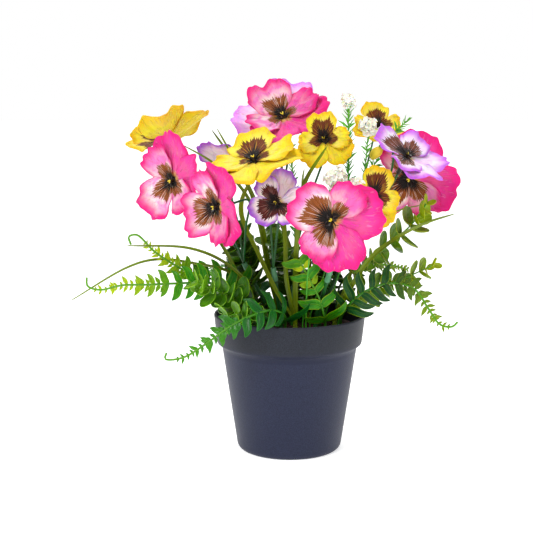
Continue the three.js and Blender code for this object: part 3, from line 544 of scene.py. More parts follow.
# %% [markdown]
# ## Petal cloth
# The petals are stamped from thin polyester cloth and printed, then curled warm over a ball. The cloth is
# dull with a slight sheen, and some light passes through it. The dyes of each cloth are its ground, the
# pale wash, the rim, the blotch with its streaks, the rays, the veins, and a cream that clouds the wash.

# %% Choose the petal dyes
PETAL_DYES = {
    # ground, pale, rim, blotch, streak, ray, vein, cream
    "pink": ("e61e94", "f48cc8", "e01470", "8a4a1c", "f8e6e0", "17100e", "ff9ad0", "fbeae2"),
    "yellow": ("f0da08", "f4e83c", "eaae08", "6a3212", "e8b828", "140c08", "fff08a", "faf088"),
    "lilac": ("ec9cec", "f4d6f4", "bc58e2", "74402e", "e8d4e0", "1c1012", "f6ecff", "fcf8fc"),
    "violet": ("e6c8e6", "f2e4ec", "9a2cd6", "54201a", "c8a090", "1c1616", "f7effa", "f8f4e2"),
}
THROAT_YELLOW = "e8c63c"


def petal_marks(pen):
    across, along = pen.map("place")
    reach, chance = pen.map("kind")
    return pen.use(petal_print, Across=across, Along=along, Reach=reach, Chance=chance, Edging=pen.map("tint")[1])


def petal_colour(ground, pale, rim, blotch, streak, ray, vein, cream):
    def colour(pen):
        wash, edging = pen.map("tint")
        marks = petal_marks(pen)
        cloth = pen.blend(pen.times(marks["Clouds"], 0.35), dye(ground), dye(rim))
        cloth = pen.blend(pen.times(marks["Veins"], 0.35), cloth, dye(vein))
        washed = pen.blend(marks["Clouds"], dye(pale), dye(cream))
        cloth = pen.blend(pen.times(wash, marks["Middle"]), cloth, washed)
        cloth = pen.blend(pen.times(marks["Rim"], edging), cloth, dye(rim))
        face = pen.blend(pen.times(marks["Streaks"], 0.8), dye(blotch), dye(streak))
        cloth = pen.blend(marks["Blotch"], cloth, face)
        cloth = pen.blend(pen.times(marks["Throat"], 0.7), cloth, dye(THROAT_YELLOW))
        return pen.blend(marks["Rays"], cloth, dye(ray))
    return colour


print("dyes for a petal:", len(PETAL_DYES["pink"]))

# %% [markdown]
# Thin cloth glows a little where light falls on its far side. Subsurface scattering spreads the light inside
# the cloth. A translucent shader mixed in would do it too, but one plain shader exports more faithfully.

# %% Mix the petal cloths
CLOTH_ROUGHNESS, CLOTH_SHEEN, CLOTH_GLOSS = 0.68, 0.05, 0.2
CRINKLE = 0.0005
LIGHT_INSIDE = {"Subsurface_Weight": 0.3, "Subsurface_Scale": 0.0015}


def petal_relief(pen):
    return petal_marks(pen)["Veins"]


petal_cloth = {
    name: finish("petal_" + name, petal_colour(*dyes), CLOTH_ROUGHNESS, petal_relief, CRINKLE, CLOTH_GLOSS,
                 Sheen_Weight=CLOTH_SHEEN, **LIGHT_INSIDE)
    for name, dyes in PETAL_DYES.items()}
print("petal cloths:", list(petal_cloth))

# %% [markdown]
# ## Leaf greens
# The leaves are moulded soft plastic with a satin skin, a lighter rim where the dye wears thin, and young
# growth that turns yellow-green towards the end of a stem. "kind" tells how far along its stem a leaf
# grows, so one finish makes a whole frond fade from deep green to lime, with no finish of its own per leaf.

# %% Mix the leaf greens
LEAF_DYES = {
    # deep, middle, young, rim, share of the rim, share of the rib, roughness, gloss
    "fern_lime": ("1f7804", "3c9202", "b4cc00", "b8d000", 0.5, 0.1, 0.36, 0.25),
    "fern_blue": ("014c0c", "066014", "52a004", "42a40c", 0.6, 0.1, 0.3, 0.35),
    "fern_dark": ("083e12", "12521a", "86a400", "98b000", 0.6, 0.1, 0.34, 0.3),
    "leaf_satin": ("347002", "4e9204", "6ca008", "9cd028", 0.75, 0.1, 0.28, 0.4),
    # The next row is a darker copy of leaf_satin for the sprigs in the middle and at the back: painted shade, where
    # the blooms above shade them.
    "leaf_shade": ("264c02", "3e6a04", "56840a", "74a412", 0.7, 0.1, 0.32, 0.35),
    "leaf_grey": ("4a7404", "689606", "a8b804", "bcc408", 0.8, 0.1, 0.36, 0.3),
    "grass_olive": ("5e7600", "789000", "90a202", "5e6404", 0.1, 0.4, 0.4, 0.3),
    "spray_green": ("2f9c18", "46ae1e", "6cc030", "7cca3c", 0.3, 0.2, 0.42, 0.5),
}
WITHOUT_RELIEF = ("grass_olive", "spray_green")


def leaf_colour(deep, middle, young, rim, rim_share, rib_share):
    def colour(pen):
        across, along = pen.map("place")
        age, chance = pen.map("kind")
        marks = pen.use(leaf_marks, Across=across, Along=along, Chance=chance)
        leaf = pen.blend(marks["Mottle"], dye(deep), dye(middle))
        leaf = pen.blend(pen.rise(age, 0.35, 1.0), leaf, dye(young))
        leaf = pen.blend(pen.times(marks["Midrib"], rib_share), leaf, dye(rim))
        return pen.blend(pen.times(marks["Rim"], rim_share), leaf, dye(rim))
    return colour


def leaf_relief(pen):
    across, along = pen.map("place")
    marks = pen.use(leaf_marks, Across=across, Along=along)
    return pen.math("MAXIMUM", marks["Midrib"], pen.times(marks["Veins"], 0.5))


greens = {}
for name, (*dyes, roughness, gloss) in LEAF_DYES.items():
    relief = None if name in WITHOUT_RELIEF else leaf_relief
    greens[name] = finish(name, leaf_colour(*dyes), roughness, relief, gloss=gloss)
print("leaf greens:", list(greens))

# %% [markdown]
# ## Stems and small parts
# Covered wire, sleeves, tubes and the parts of the throat are dyed in one colour, which the fine grain makes
# slightly uneven. A frond's own stem is moulded with its leaflets and turns lighter towards its tip. The
# florets are cut from the same kind of cloth as the petals, so light gets into them too.

# %% Mix the small parts
PLAIN_DYES = {
    # dark, light, roughness
    "wire_green": ("124e18", "1c6424", 0.38),
    "sleeve_green": ("4f8f64", "66a678", 0.5),
    "tube_dark": ("1c1210", "34221c", 0.4),
    "bud_yellow": ("e6c418", "f2d83a", 0.6),
    "pistil_yellow": ("e8c81c", "f6e24a", 0.5),
    "pistil_black": ("120c08", "2a1c10", 0.35),
}
STEM_BASE, STEM_TIP = "2c7404", "5c9c0c"


def plain_colour(dark, light):
    return lambda pen: pen.blend(pen.use(grain, Scale=160.0)["Shade"], dye(dark), dye(light))


def stem_colour(pen):
    return pen.blend(pen.rise(pen.map("place")[1], 0.35, 0.95), dye(STEM_BASE), dye(STEM_TIP))


for name, (dark, light, roughness) in PLAIN_DYES.items():
    greens[name] = finish(name, plain_colour(dark, light), roughness)
greens["floret_white"] = finish("floret_white", plain_colour("f4f2e0", "fffef6"), 0.75, **LIGHT_INSIDE)
greens["frond_stem"] = finish("frond_stem", stem_colour, 0.4, gloss=0.35)
print("greens and small parts:", len(greens))

# %% [markdown]
# ## Pot plastic
# The nursery pot is thin moulded polypropylene, dull and slightly grained. Its wall is a shade bluer than
# the collar. The step under the collar is painted a deeper blue: painted shade under the collar's overhang,
# and partly the plastic's own colour where less dust settles. Heights tell the parts from each other, so
# the pot stays one piece, as it is moulded. Separate pieces for the parts would show seams.

# %% Mix the pot plastic
BAND_LOW, BAND_HIGH = 79.0, 86.5
BAND_EDGE, COLLAR_FADE = 0.6, 4
# The step under the collar is darkened towards a deeper blue: painted shade under the overhang, partly the plastic's
# own colour where less dust settles.
STEP_SHADE_SHARE = 0.5
BODY_DYES, COLLAR_DYES, STEP_SHADE_DYE = ("1f2338", "282e47"), ("1d2029", "292d38"), "181d36"


def pot_colour(pen):
    height = pen.node("SeparateXYZ", Vector=pen.place()).outputs[2]
    above = pen.rise(height, MM * (BAND_LOW - BAND_EDGE), MM * (BAND_LOW + BAND_EDGE))
    # Painted shade: a mask for the step under the collar.
    step_shade = pen.times(above, pen.rise(height, MM * (BAND_HIGH + BAND_EDGE), MM * (BAND_HIGH - BAND_EDGE)))
    shade = pen.use(grain, Scale=1400.0)["Shade"]
    body, collar = (pen.blend(shade, dye(dark), dye(light)) for dark, light in (BODY_DYES, COLLAR_DYES))
    body = pen.blend(pen.rise(height, MM * BAND_LOW, MM * (BAND_HIGH + COLLAR_FADE)), body, collar)
    # The step under the collar gets its painted shade here, half way to the deeper blue.
    return pen.blend(pen.times(step_shade, STEP_SHADE_SHARE), body, dye(STEP_SHADE_DYE))


def pot_relief(pen):
    return pen.use(grain, Scale=1500.0, Detail=1.0)["Height"]


pot_plastic = finish("pot_plastic", pot_colour, 0.46, pot_relief, 0.0001, gloss=0.22)
print("pot band from", BAND_LOW, "to", BAND_HIGH, "mm")

# %% [markdown]
# ## Soil crumb
# The fill is dark crumb glued into a plug. Its relief is the same grain as the plastic's, only ten times
# deeper and coarser, which saves a texture of its own.

# %% Mix the soil
def soil_relief(pen):
    return pen.use(grain, Scale=420.0, Detail=4.0)["Height"]


soil_crumb = finish("soil_crumb", plain_colour("1c0d08", "3c2016"), 0.95, soil_relief, 0.0012)
print("soil relief 1.2 mm deep")

# %% [markdown]
# ## Floor
# The planter stands on a plain pale floor. A real product table is lit from below, so the floor glows a
# little, and more with distance, until it meets the room without a horizon line. A curved backdrop would
# hide the line too, but not from every side.

# %% Lay the floor
FLOOR_HALF = 9
FLOOR_WHITE = "f4f4f4"
FLOOR_GLOW = 0.58
GLOW_FROM, GLOW_TO = 0.8, 3.0


def floor_glow(pen):
    away = pen.node("VectorMath", {"operation": "LENGTH"}, Vector=pen.place()).outputs["Value"]
    near_glow = (FLOOR_GLOW, FLOOR_GLOW, FLOOR_GLOW, 1)
    return pen.blend(pen.rise(away, GLOW_FROM, GLOW_TO), near_glow, dye("ffffff"))


corners = [(x * FLOOR_HALF, y * FLOOR_HALF, 0) for x, y in ((-1, -1), (1, -1), (1, 1), (-1, 1))]
floor_mesh = bpy.data.meshes.new("floor")
floor_mesh.from_pydata(corners, [], [(0, 1, 2, 3)])
floor = in_scene("floor", floor_mesh)
floor_mesh.materials.append(finish("floor_white", lambda pen: dye(FLOOR_WHITE), 0.9, gloss=0.1,
                                   Emission_Strength=1.0, Emission_Color=floor_glow))
floor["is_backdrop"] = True
print("the floor glows", FLOOR_GLOW, "at the pot")

# %% [markdown]
# ## Light
# A pale room lights the planter evenly and looks white behind it. A large soft lamp hangs high on the left,
# as a window would, a weaker one fills from the right, and one from above and behind draws light edges on
# the petals. One sun would be simpler, but its shadows are hard.

# %% Light the room
ROOM_LIGHT = 0.36
BACKDROP_LIGHT = 1.0
LIT_POINT = Vector((-0.018, 0, 0.16))
LAMPS = {
    # place, size, power
    "key": ((-0.8, -1.1, 1.4), 0.7, 20.0),
    "fill": ((1.1, -0.9, 0.7), 0.9, 4.2),
    "top": ((0.1, 0.8, 1.6), 0.8, 16.0),
}

world = bpy.data.worlds.new("room")
world.use_nodes = True
background = world.node_tree.nodes["Background"]
background.inputs["Color"].default_value = dye("ffffff")
pen = Pen(world.node_tree)
seen = pen.node("LightPath").outputs["Is Camera Ray"]
pen.plug(background.inputs["Strength"], pen.shifted(seen, BACKDROP_LIGHT - ROOM_LIGHT, ROOM_LIGHT))
bpy.context.scene.world = world
for name, (place, size, power) in LAMPS.items():
    lamp = bpy.data.lights.new(name, "AREA")
    lamp.size = size
    lamp.energy = power
    held = in_scene(name, lamp)
    held.location = place
    held.rotation_euler = (LIT_POINT - Vector(place)).to_track_quat("-Z", "Y").to_euler()
bpy.context.scene.view_settings.view_transform = "Standard"
print("lamps:", list(LAMPS))

# %% [markdown]
# ## Pot
# The pot is one turned wall, so its finer version is the same profile turned in more steps, with small
# rounds where the mould's edges were. A subdivision surface would soften the collar's crisp step.

# %% Turn the pot
POT_SIDES = 144
POT_PROFILE = [
    (0, 0.6), (20, 0.6), (34, 0.4), (36.4, 0), (38.6, 0), (39.8, 0.35), (40.8, 1.3), (41.6, 2.7), (41.95, 4.2),
    (47.8, 43), (52.6, 75.6), (53.45, 81), (53.9, 82.6), (55.4, 84.4), (56.5, 85.2), (57.3, 85.9), (57.65, 87),
    (58.6, 95), (59.95, 107.4), (59.95, 108), (59.75, 108.6), (59.3, 108.95), (58.7, 109), (58.3, 108.7),
    (58.1, 108.1), (55.45, 88.4), (54.9, 86.9), (52.2, 83), (51.7, 81.4), (45, 38), (39.9, 4.2), (39.3, 2.7),
    (38.4, 2.5), (0, 2.5),
]
pot = Stock()
lathe(pot, POT_PROFILE, POT_SIDES)
put(pot, "pot", [pot_plastic])

# %% [markdown]
# ## Soil
# The fill's top is a height field: the broad lumps of the solid, with crumbs on them that fade out at the
# wall. Separate grains would look richer very close by, at many times the size.

# %% Crumble the soil
SOIL_RADIUS = 54.9
SOIL_RINGS, SOIL_SIDES = 40, 150
LUMP, CRUMB, GRAIN = 1.6, 0.55, 0.3
SOIL_WALLS = [(SOIL_RADIUS, 88.4), (51.4, 82), (39.4, 2.8), (0, 2.8)]


def crumb_height(x, y):
    lumps = np.sin(x * 0.31 + 1) * np.cos(y * 0.27)
    swells = np.sin(x * 0.13 - y * 0.22)
    crumbs = np.sin(x * 1.9 + 2 * np.sin(y * 1.3)) * np.sin(y * 1.7 + 2 * np.cos(x * 1.1))
    grains = np.sin(x * 4.3 + y * 2.9) * np.cos(y * 4.7 - x * 1.7)
    return LUMP * (0.6 * lumps + 0.4 * swells) + CRUMB * crumbs + GRAIN * grains


turn = np.linspace(0, 2 * math.pi, SOIL_SIDES, endpoint=False)
radius = SOIL_RADIUS * np.linspace(0, 1, SOIL_RINGS)[:, None]
x, y = radius * np.cos(turn), radius * np.sin(turn)
top = np.stack([x, y, SOIL_HEIGHT + crumb_height(x, y) * smooth(SOIL_RADIUS - radius, 0, 4)], axis=-1)
skirt = np.stack([np.stack([r * np.cos(turn), r * np.sin(turn), h + 0 * turn], axis=-1) for r, h in SOIL_WALLS])
soil = Stock()
soil.grid(np.concatenate([top, skirt]))
put(soil, "soil", [soil_crumb])

# %% [markdown]
# ## Thin sheets
# Petals and leaves are cut from sheet. A grid of points down the middle of the sheet is pushed out half
# the thickness to both sides, and its edge closes itself: each row runs out over the front and back
# behind. Blender's Solidify would do the same, but only when everything else is finished.

# %% Give a grid thickness
NO_SIZE = 1e-9


def sheet(stock, middle, thickness, kind=(0.0, 0.0), paint=0):
    """A closed sheet around a grid of points. Rows run out from the root, and columns run across."""
    rows, columns = middle.shape[:2]
    normal = np.cross(np.gradient(middle, axis=1), np.gradient(middle, axis=0))
    size = np.linalg.norm(normal, axis=-1, keepdims=True)
    push = np.where(size > NO_SIZE, normal / np.maximum(size, NO_SIZE), 0) * thickness / 2
    push[:, [0, -1]] = 0
    back = slice(-2, 0, -1)
    loop = np.concatenate([middle + push, (middle - push)[:, back]], axis=1)
    first, last = (np.concatenate([row, row[:, back]], axis=1) for row in (middle[:1], middle[-1:]))
    across = np.linspace(0, 1, columns)
    across = np.concatenate([across, across[::-1][1:]])
    along = np.concatenate([[0], np.linspace(0, 1, rows), [1]])
    place = np.stack(np.meshgrid(across, along), axis=-1)
    stock.grid(np.concatenate([first, loop, last]), place, kind, paint)


print("a sheet closes on its own edge")

# %% [markdown]
# ## The blooms' places
# These are a florist's notes: where each bloom's throat sits, which way it looks, how far it is turned
# round, its size, how deep its cup is and its cloth. A few blooms also have their own share of blotch and
# wash on each petal, because no two prints come out alike.

# %% Write down the blooms
def bloom(at, facing, up, size, cup, fabric, **own):
    return dict(at=at, facing=facing, up=up, size=size, cup=cup, fabric=fabric, **own)


BLOOMS = {
    "pink_left": bloom((-90.2, -26, 216), (-0.7, -0.7, 0.05), 50, 1, 0.24, "pink",
                       blotches=(0, 0, 0.5, 0.5, 0.56)),
    "pink_low": bloom((-55.5, -66, 200), (-0.76, -0.64, -0.1), 20, 0.93, 0.28, "pink",
                      blotches=(0, 0, 0.42, 0.5, 0.7), wash=(0.1, 0.1, 0.4, 0.8, 0.8)),
    "pink_front": bloom((27.4, -95, 193.8), (-0.1, -0.98, -0.05), -32, 1, 0.14, "pink",
                        blotches=(0, 0, 0.68, 0.46, 0.76), wash=(0.1, 0.1, 0.8, 0.45, 1)),
    "pink_top": bloom((-5.5, 12, 264), (-0.15, -0.66, 0.73), -50, 1, 0.32, "pink",
                      blotches=(0, 0, 0.34, 0.34, 0.6), wash=(0.1, 0.1, 0.8, 0.3, 0.8)),
    "pink_right": bloom((93.7, 2, 215), (-0.28, -0.94, -0.2), 30, 1.04, 0.12, "pink"),
    "lilac_right": bloom((86, -44, 236), (0.35, -0.45, 0.8), -50, 0.9, 0.2, "lilac"),
    "yellow_mid": bloom((-28, -44, 233.5), (-0.32, -0.36, 0.87), -50, 1.06, 0.14, "yellow",
                        blotches=(0, 0, 0.26, 0.36, 0.74)),
    "yellow_centre": bloom((25, -26, 247), (-0.1, -0.93, 0.35), -80, 0.64, 0.16, "yellow",
                           blotches=(0, 0, 0.52, 0.52, 0.8)),
    "yellow_back_right": bloom((71.7, 45, 256), (0.1, -0.66, 0.74), -90, 0.64, 0.2, "yellow"),
    "yellow_right": bloom((60, -52, 207), (0.35, -0.9, 0.2), -110, 0.68, 0.16, "yellow"),
    "yellow_back_left": bloom((-100, 40, 247), (-0.45, 0.35, 0.82), 90, 1.06, 0.24, "yellow"),
    "violet_centre": bloom((-11, -66, 203.5), (-0.12, -0.94, 0.3), 40, 0.66, 0.3, "violet"),
    "violet_hidden": bloom((-45.5, 10, 229), (0, 0.5, 0.85), 90, 0.8, 0.2, "violet"),
    "lilac_rear": bloom((40, 78, 176), (0.35, 0.9, 0.25), 80, 0.9, 0.16, "lilac"),
}
print(len(BLOOMS), "blooms")

# %% [markdown]
# ## A petal's outline
# A pansy has five petals. Two plain ones stand behind, one at each side carries a blotch, and the wide lip
# in front has the largest. Each petal is a fan from the throat. Stamped cloth petals are cut with a wavy
# die, so the edge has shallow lobes and a notch in its middle. A drawn curve would fit one petal, and a sum
# of waves fits them all.

# %% Cut a petal
PETALS = [
    # turn, half spread, length, layer
    (45, 54, 37, -1), (135, 54, 37, -1.9), (4, 46, 30, 0), (176, 46, 30, 0), (-90, 60, 32, 1),
]
LIP = 4
PETAL_COLUMNS, PETAL_ROWS = 35, 25
THROAT_RADIUS = 1.7
LOBES, FINE_LOBES = 0.022, 0.007
NOTCH, LIP_NOTCH = 0.035, 0.07


def bloom_frame(bloom):
    """The throat's place, the way the bloom looks, its up and its right."""
    facing = unit(np.array(bloom["facing"], float))
    level = unit(np.cross((0, 0, 1), facing))
    rise = np.cross(facing, level)
    turn = math.radians(bloom["up"])
    up = swing(level, rise, turn)
    return np.array(bloom["at"], float), facing, up, np.cross(up, facing)


def petal_fan(index, length, chance):
    """The turn and the radius of each point of a flat petal, and its share u across and t along."""
    u = np.linspace(-1, 1, PETAL_COLUMNS)[None, :]
    t = np.linspace(0, 1, PETAL_ROWS)[:, None] ** 0.85
    turn_to, spread = PETALS[index][:2]
    shoulder = 1 - 0.17 * smooth(t, 0.6, 1) ** 2
    turn = math.radians(turn_to) + u * math.radians(spread) * (0.86 + 0.14 * t) * shoulder * 1.04
    edge = length * (1 - 0.30 * np.abs(u) ** 3 - 0.05 * np.abs(u) ** 8)
    lobes = LOBES * np.cos(5.5 * math.pi * u + 9 * chance) + FINE_LOBES * np.cos(9 * math.pi * u + 31 * chance)
    notch = (LIP_NOTCH if index == LIP else NOTCH) * np.exp(-(u / 0.16) ** 2)
    edge = edge * (1.02 + lobes - notch)
    return turn, THROAT_RADIUS + (edge - THROAT_RADIUS) * t, u, t


print("a petal has", PETAL_COLUMNS * PETAL_ROWS, "points on its middle")

# %% [markdown]
# ## A petal's height
# A warm ball pressed into the cloth cups each petal. Then its edge ruffles in broad waves, flutters in
# quicker ones and curls back, and fine pleats run out from the throat. A cloth simulation could fold it too,
# but its result is hard to aim.

# %% Curl a petal
PETAL_CLOTH = 0.5
LAYER_STEP, LAYER_LEAN = 0.8, 0.05
RUFFLE, FLUTTER, PLEAT, CURL, THROAT_DEPTH = 2.6, 1.9, 0.16, -0.9, 1.6


def petal(stock, bloom, index, chance, kind):
    _, _, reach, layer = PETALS[index]
    at, facing, up, right = bloom_frame(bloom)
    size, length = bloom["size"], reach * bloom["size"]
    turn, radius, u, t = petal_fan(index, length, chance)
    share = radius / (32 * size)
    bowl = bloom["cup"] * radius ** 2 / length
    ruffle = RUFFLE * size * share ** 2 * np.sin(5 * turn + bloom["at"][0])
    flutter = FLUTTER * size * smooth(t, 0.45, 1) * np.sin(11 * turn + 20 * chance) * (0.4 + 0.6 * np.abs(u))
    pleat = PLEAT * size * smooth(t, 0.1, 0.5) * np.sin(27 * turn + 5 * chance)
    curl = CURL * size * smooth(np.maximum(t, np.abs(u)), 0.86, 1) ** 2
    height = layer * LAYER_STEP + bowl + layer * LAYER_LEAN * radius + ruffle + flutter + pleat + curl
    height = height - THROAT_DEPTH * (1 - smooth(t, 0, 0.2))
    sweep = np.cos(turn)[..., None] * right + np.sin(turn)[..., None] * up
    middle = at + (radius * np.ones_like(turn))[..., None] * sweep + height[..., None] * facing
    sheet(stock, middle, PETAL_CLOTH, kind)


print("petal cloth is", PETAL_CLOTH, "mm thick")

# %% [markdown]
# ## Blooms
# A bloom is its five petals in one cloth. Each petal tells its material how far the blotch reaches, how
# pale it is washed and how deeply its rim is dyed. The top pink bloom has a second pair of petals behind it,
# in lilac cloth, which are made as a bloom of two petals.

# %% Arrange the petals
BLOTCHES = (0.0, 0.0, 0.68, 0.68, 0.76)
WASH = {"pink": (0.1, 0.1, 0.7, 0.7, 1.0), "yellow": (0.2, 0.2, 0.5, 0.5, 0.6),
        "lilac": (0.8, 0.8, 0.95, 0.95, 1.0), "violet": (0.7, 0.7, 0.95, 0.95, 1.0)}
EDGING = {"pink": 0.6, "yellow": 0.5, "lilac": 0.85, "violet": 0.85}
BACK_DEPTH = 4.2


def make_bloom(name, bloom, petals=range(5)):
    stock, fabric = Stock(), bloom["fabric"]
    for index in petals:
        chance = chance_of(name, index)
        reach = bloom.get("blotches", BLOTCHES)[index]
        wash = bloom.get("wash", WASH[fabric])[index]
        petal(stock, bloom, index, chance, (reach, chance, wash, bloom.get("edging", EDGING[fabric])))
    put(stock, "petals_" + name, [petal_cloth[fabric]])


for name, notes in BLOOMS.items():
    make_bloom(name, notes)
at, facing, _, _ = bloom_frame(BLOOMS["pink_top"])
make_bloom("pink_top_back", {**BLOOMS["pink_top"], "at": tuple(at - BACK_DEPTH * facing), "fabric": "lilac",
                             "up": 135, "size": 1.08, "cup": 0.24, "wash": (1.0, 1.0), "edging": 0.35}, range(2))

# %% [markdown]
# ## Bud
# The bud is the same cloth rolled tight: a slim turned body whose folds wind round it. Rolled petals would
# be truer inside, but nobody sees them.

# %% Roll the bud
BUD_AT, BUD_TOWARDS = (70, -5, 240), (-0.62, 0, -0.78)
BUD_SIDES = 24
BUD_FOLD, BUD_FOLDS, BUD_TWIST = 0.1, 3, 0.35
BUD_PROFILE = [(0, 0.3), (1.9, 0.3), (2.8, 1.2), (3.7, 3.4), (4, 5.4), (3.6, 8), (2.7, 10), (1.2, 11.6), (0, 12)]

bud = Stock()
lathe(bud, BUD_PROFILE, BUD_SIDES, BUD_AT, BUD_TOWARDS)
axis = unit(np.array(BUD_TOWARDS, float))
out = bud.points[-1] - np.array(BUD_AT)
height = out @ axis
bearing = np.tile(np.linspace(0, 2 * math.pi, BUD_SIDES, endpoint=False), len(BUD_PROFILE))
fold = 1 + BUD_FOLD * np.sin(BUD_FOLDS * bearing + height * BUD_TWIST)
along = height[:, None] * axis
bud.points[-1] = np.array(BUD_AT) + along + (out - along) * fold[:, None]
put(bud, "petals_bud", [greens["bud_yellow"]])

# %% [markdown]
# ## Throats
# Behind each bloom sits a dark tapered tube with three sepals. In front of the throat there is a moulded
# pistil: two small yellow lips, with black hooks curling round them. All are made along the bloom's own
# axes, so one function serves every bloom at any tilt.

# %% Set a throat
TUBE_LENGTH, HUB_HALF = 15, 1.9
SEPALS, HOOKS = 3, 9
PICK_PAINTS = ["wire_green", "sleeve_green", "tube_dark", "leaf_satin", "pistil_yellow", "pistil_black"]


def seat_of(name):
    """The bloom's frame, and how far behind the throat its tube begins and ends."""
    below = BACK_DEPTH + 0.3 if name == "pink_top" else 0
    cup = -HUB_HALF - 0.3 - below
    return (*bloom_frame(BLOOMS[name]), cup, cup - TUBE_LENGTH)


def add_sepals(stock, name):
    at, facing, up, right, cup, tail = seat_of(name)
    profile = [(0, tail), (1.3, tail), (1.7, tail + 1), (1.85, tail + 6), (2.3, tail + 11), (3.3, cup),
               (1.35, cup + 0.2), (1.35, 1.2), (0, 1.2)]
    lathe(stock, profile, 20, at, facing, paint=PICK_PAINTS.index("tube_dark"))
    along, across = np.linspace(0, 1, 9)[:, None, None], np.linspace(-1, 1, 5)[None, :, None]
    width = 2.6 * np.sin(math.pi * np.clip(along, 0.06, 0.97) ** 0.7)
    for k in range(SEPALS):
        chance = chance_of(name, k)
        bearing = 2 * math.pi * (k / SEPALS + chance * 0.05)
        out = swing(right, up, bearing)
        middle = (at + facing * (tail + 7 + 9.5 * along - 0.8) + out * (2.2 + 5.5 * along ** 2.4)
                  + np.cross(facing, out) * across * width)
        sheet(stock, middle, 0.4, (0.3, chance), PICK_PAINTS.index("leaf_satin"))


def add_pistil(stock, name):
    at, facing, up, right, _, _ = seat_of(name)
    size = BLOOMS[name]["size"]
    for k in range(HOOKS):
        bearing = 2 * math.pi * k / HOOKS + 1.2 * chance_of(name, k)
        out = swing(right, up, bearing)
        bend = np.cross(facing, out) * (1.1 if k % 2 else -1.1)
        reach, step = size * (3.4 + 2.6 * chance_of(name, k + 20)), 0.8 * (k % 3)
        points = [at + facing * 0.4, at + facing * 2 + out * reach * 0.4,
                  at + facing * (2.6 + step) + out * reach * 0.8 + bend * 0.6,
                  at + facing * (1.8 + step) + out * reach + bend * 1.9]
        tube(stock, Line(points, facing + 0.1 * out), taper(0.5, 0.55), 8, 5,
             paint=PICK_PAINTS.index("pistil_black"))
    for side in (-1, 1):
        points = [at + facing * 0.4, at + facing * 1.8 - up * 0.7 + right * side * 0.7,
                  at + facing * 2.3 - up * 1.7 + right * side * 1.1]
        tube(stock, Line(points, facing), lambda s: size * (0.75 - 0.25 * s), 8, 10,
             paint=PICK_PAINTS.index("pistil_yellow"), flat=0.8)


print("each throat has", SEPALS, "sepals and", HOOKS, "hooks")

# %% [markdown]
# ## Picks
# A pick is a covered wire pushed into the soil. At its sleeve it branches to its blooms, as bunched wires
# are bound and dipped. The branches could be one forked mesh, but crossed tubes inside the sleeve look the
# same and stay simple.

# %% Bend the wires
WIRE, MAIN_STEM, SLEEVE_WALL = 0.85, 1.6, 0.55
SLEEVE_FROM = 0.86
PICKS = {
    # foot, sleeve, blooms
    "pick_left": ((-14, -2), (-36, -8, 150), ["pink_left", "pink_low", "yellow_back_left", "violet_hidden"]),
    "pick_middle": ((-7, -13), (-13, -20, 148), ["yellow_mid", "violet_centre", "pink_top"]),
    "pick_front": ((20, -16), (30, -40, 150), ["pink_front", "yellow_right"]),
    "pick_right": ((24, 4), (48.5, 4.5, 162), ["pink_right", "lilac_right", "yellow_back_right"]),
    "pick_rear": ((2, 14), (4, 22, 150), ["yellow_centre", "lilac_rear"]),
}
BUD_CAP = [(0, -7), (1.3, -7), (1.5, -2), (2.4, -0.6), (2.9, 0), (1.2, 0.1), (1.2, 3.8), (0, 4)]


def add_wire(stock, points):
    tube(stock, Line(points), lambda s: WIRE, 40, 10)


def add_branch(stock, start, name):
    at, facing, _, _, _, tail = seat_of(name)
    before = at + facing * (tail - 14)
    add_wire(stock, [start, start + (before - start) * 0.45 + (0, 0, 6), before, at + facing * (tail + 1.5)])


def add_bud_stem(stock, start):
    base, towards = np.array(BUD_AT, float), unit(np.array(BUD_TOWARDS, float))
    add_wire(stock, [start, base + (2, 6, -40), base + (10, 2, -6), base - towards * 6])
    lathe(stock, BUD_CAP, 18, BUD_AT, BUD_TOWARDS, PICK_PAINTS.index("leaf_satin"))


for name, (foot, sleeve, held_blooms) in PICKS.items():
    stock = Stock()
    stem = Line(rooted(foot, [sleeve]))
    tube(stock, stem, lambda s: MAIN_STEM, 40, 14)
    tube(stock, stem, lambda s: MAIN_STEM + SLEEVE_WALL, 6, 14, paint=PICK_PAINTS.index("sleeve_green"),
         start=SLEEVE_FROM)
    for held in held_blooms:
        add_branch(stock, np.array(sleeve, float), held)
        add_sepals(stock, held)
        add_pistil(stock, held)
    if name == "pick_right":
        add_bud_stem(stock, np.array(sleeve, float))
    put(stock, name, [greens[paint] for paint in PICK_PAINTS])

# %% [markdown]
# ## Which leaves are there
# Where two stems crowd each other, the solids leave a leaf out or turn it aside. A search tree over the
# points of a solid tells which of a leaf's possible tips it really has. A list of the missing leaves would
# do too, but it would be wrong as soon as a stem moved.

# %% Look a tip up in the solid
TIP_NEAR = 1.0


def tips_of(node):
    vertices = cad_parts[node].data.vertices
    tree = KDTree(len(vertices))
    for index, vertex in enumerate(vertices):
        tree.insert(vertex.co / MM, index)
    tree.balance()
    return tree


def first_there(tree, tries, tip_at):
    """The first way of growing whose tip the solid has."""
    return next((way for way in tries if tree.find(Vector(tip_at(*way)))[2] < TIP_NEAR), None)


print("a tip counts when it lies within", TIP_NEAR, "mm")

# %% [markdown]
# ## Fern leaflets
# Near the soil a fern's leaflets are long lances with a gentle S in the outline. Near the tip they are small
# drops on thin stalks. A leaflet's length decides how much of each it is, so that one function draws both
# and everything between.

# %% Cut a leaflet
LEAF_CLOTH = 0.6
STALK = 0.3
DROPS_BELOW, LANCES_ABOVE = 7, 13
LEAN = 0.55


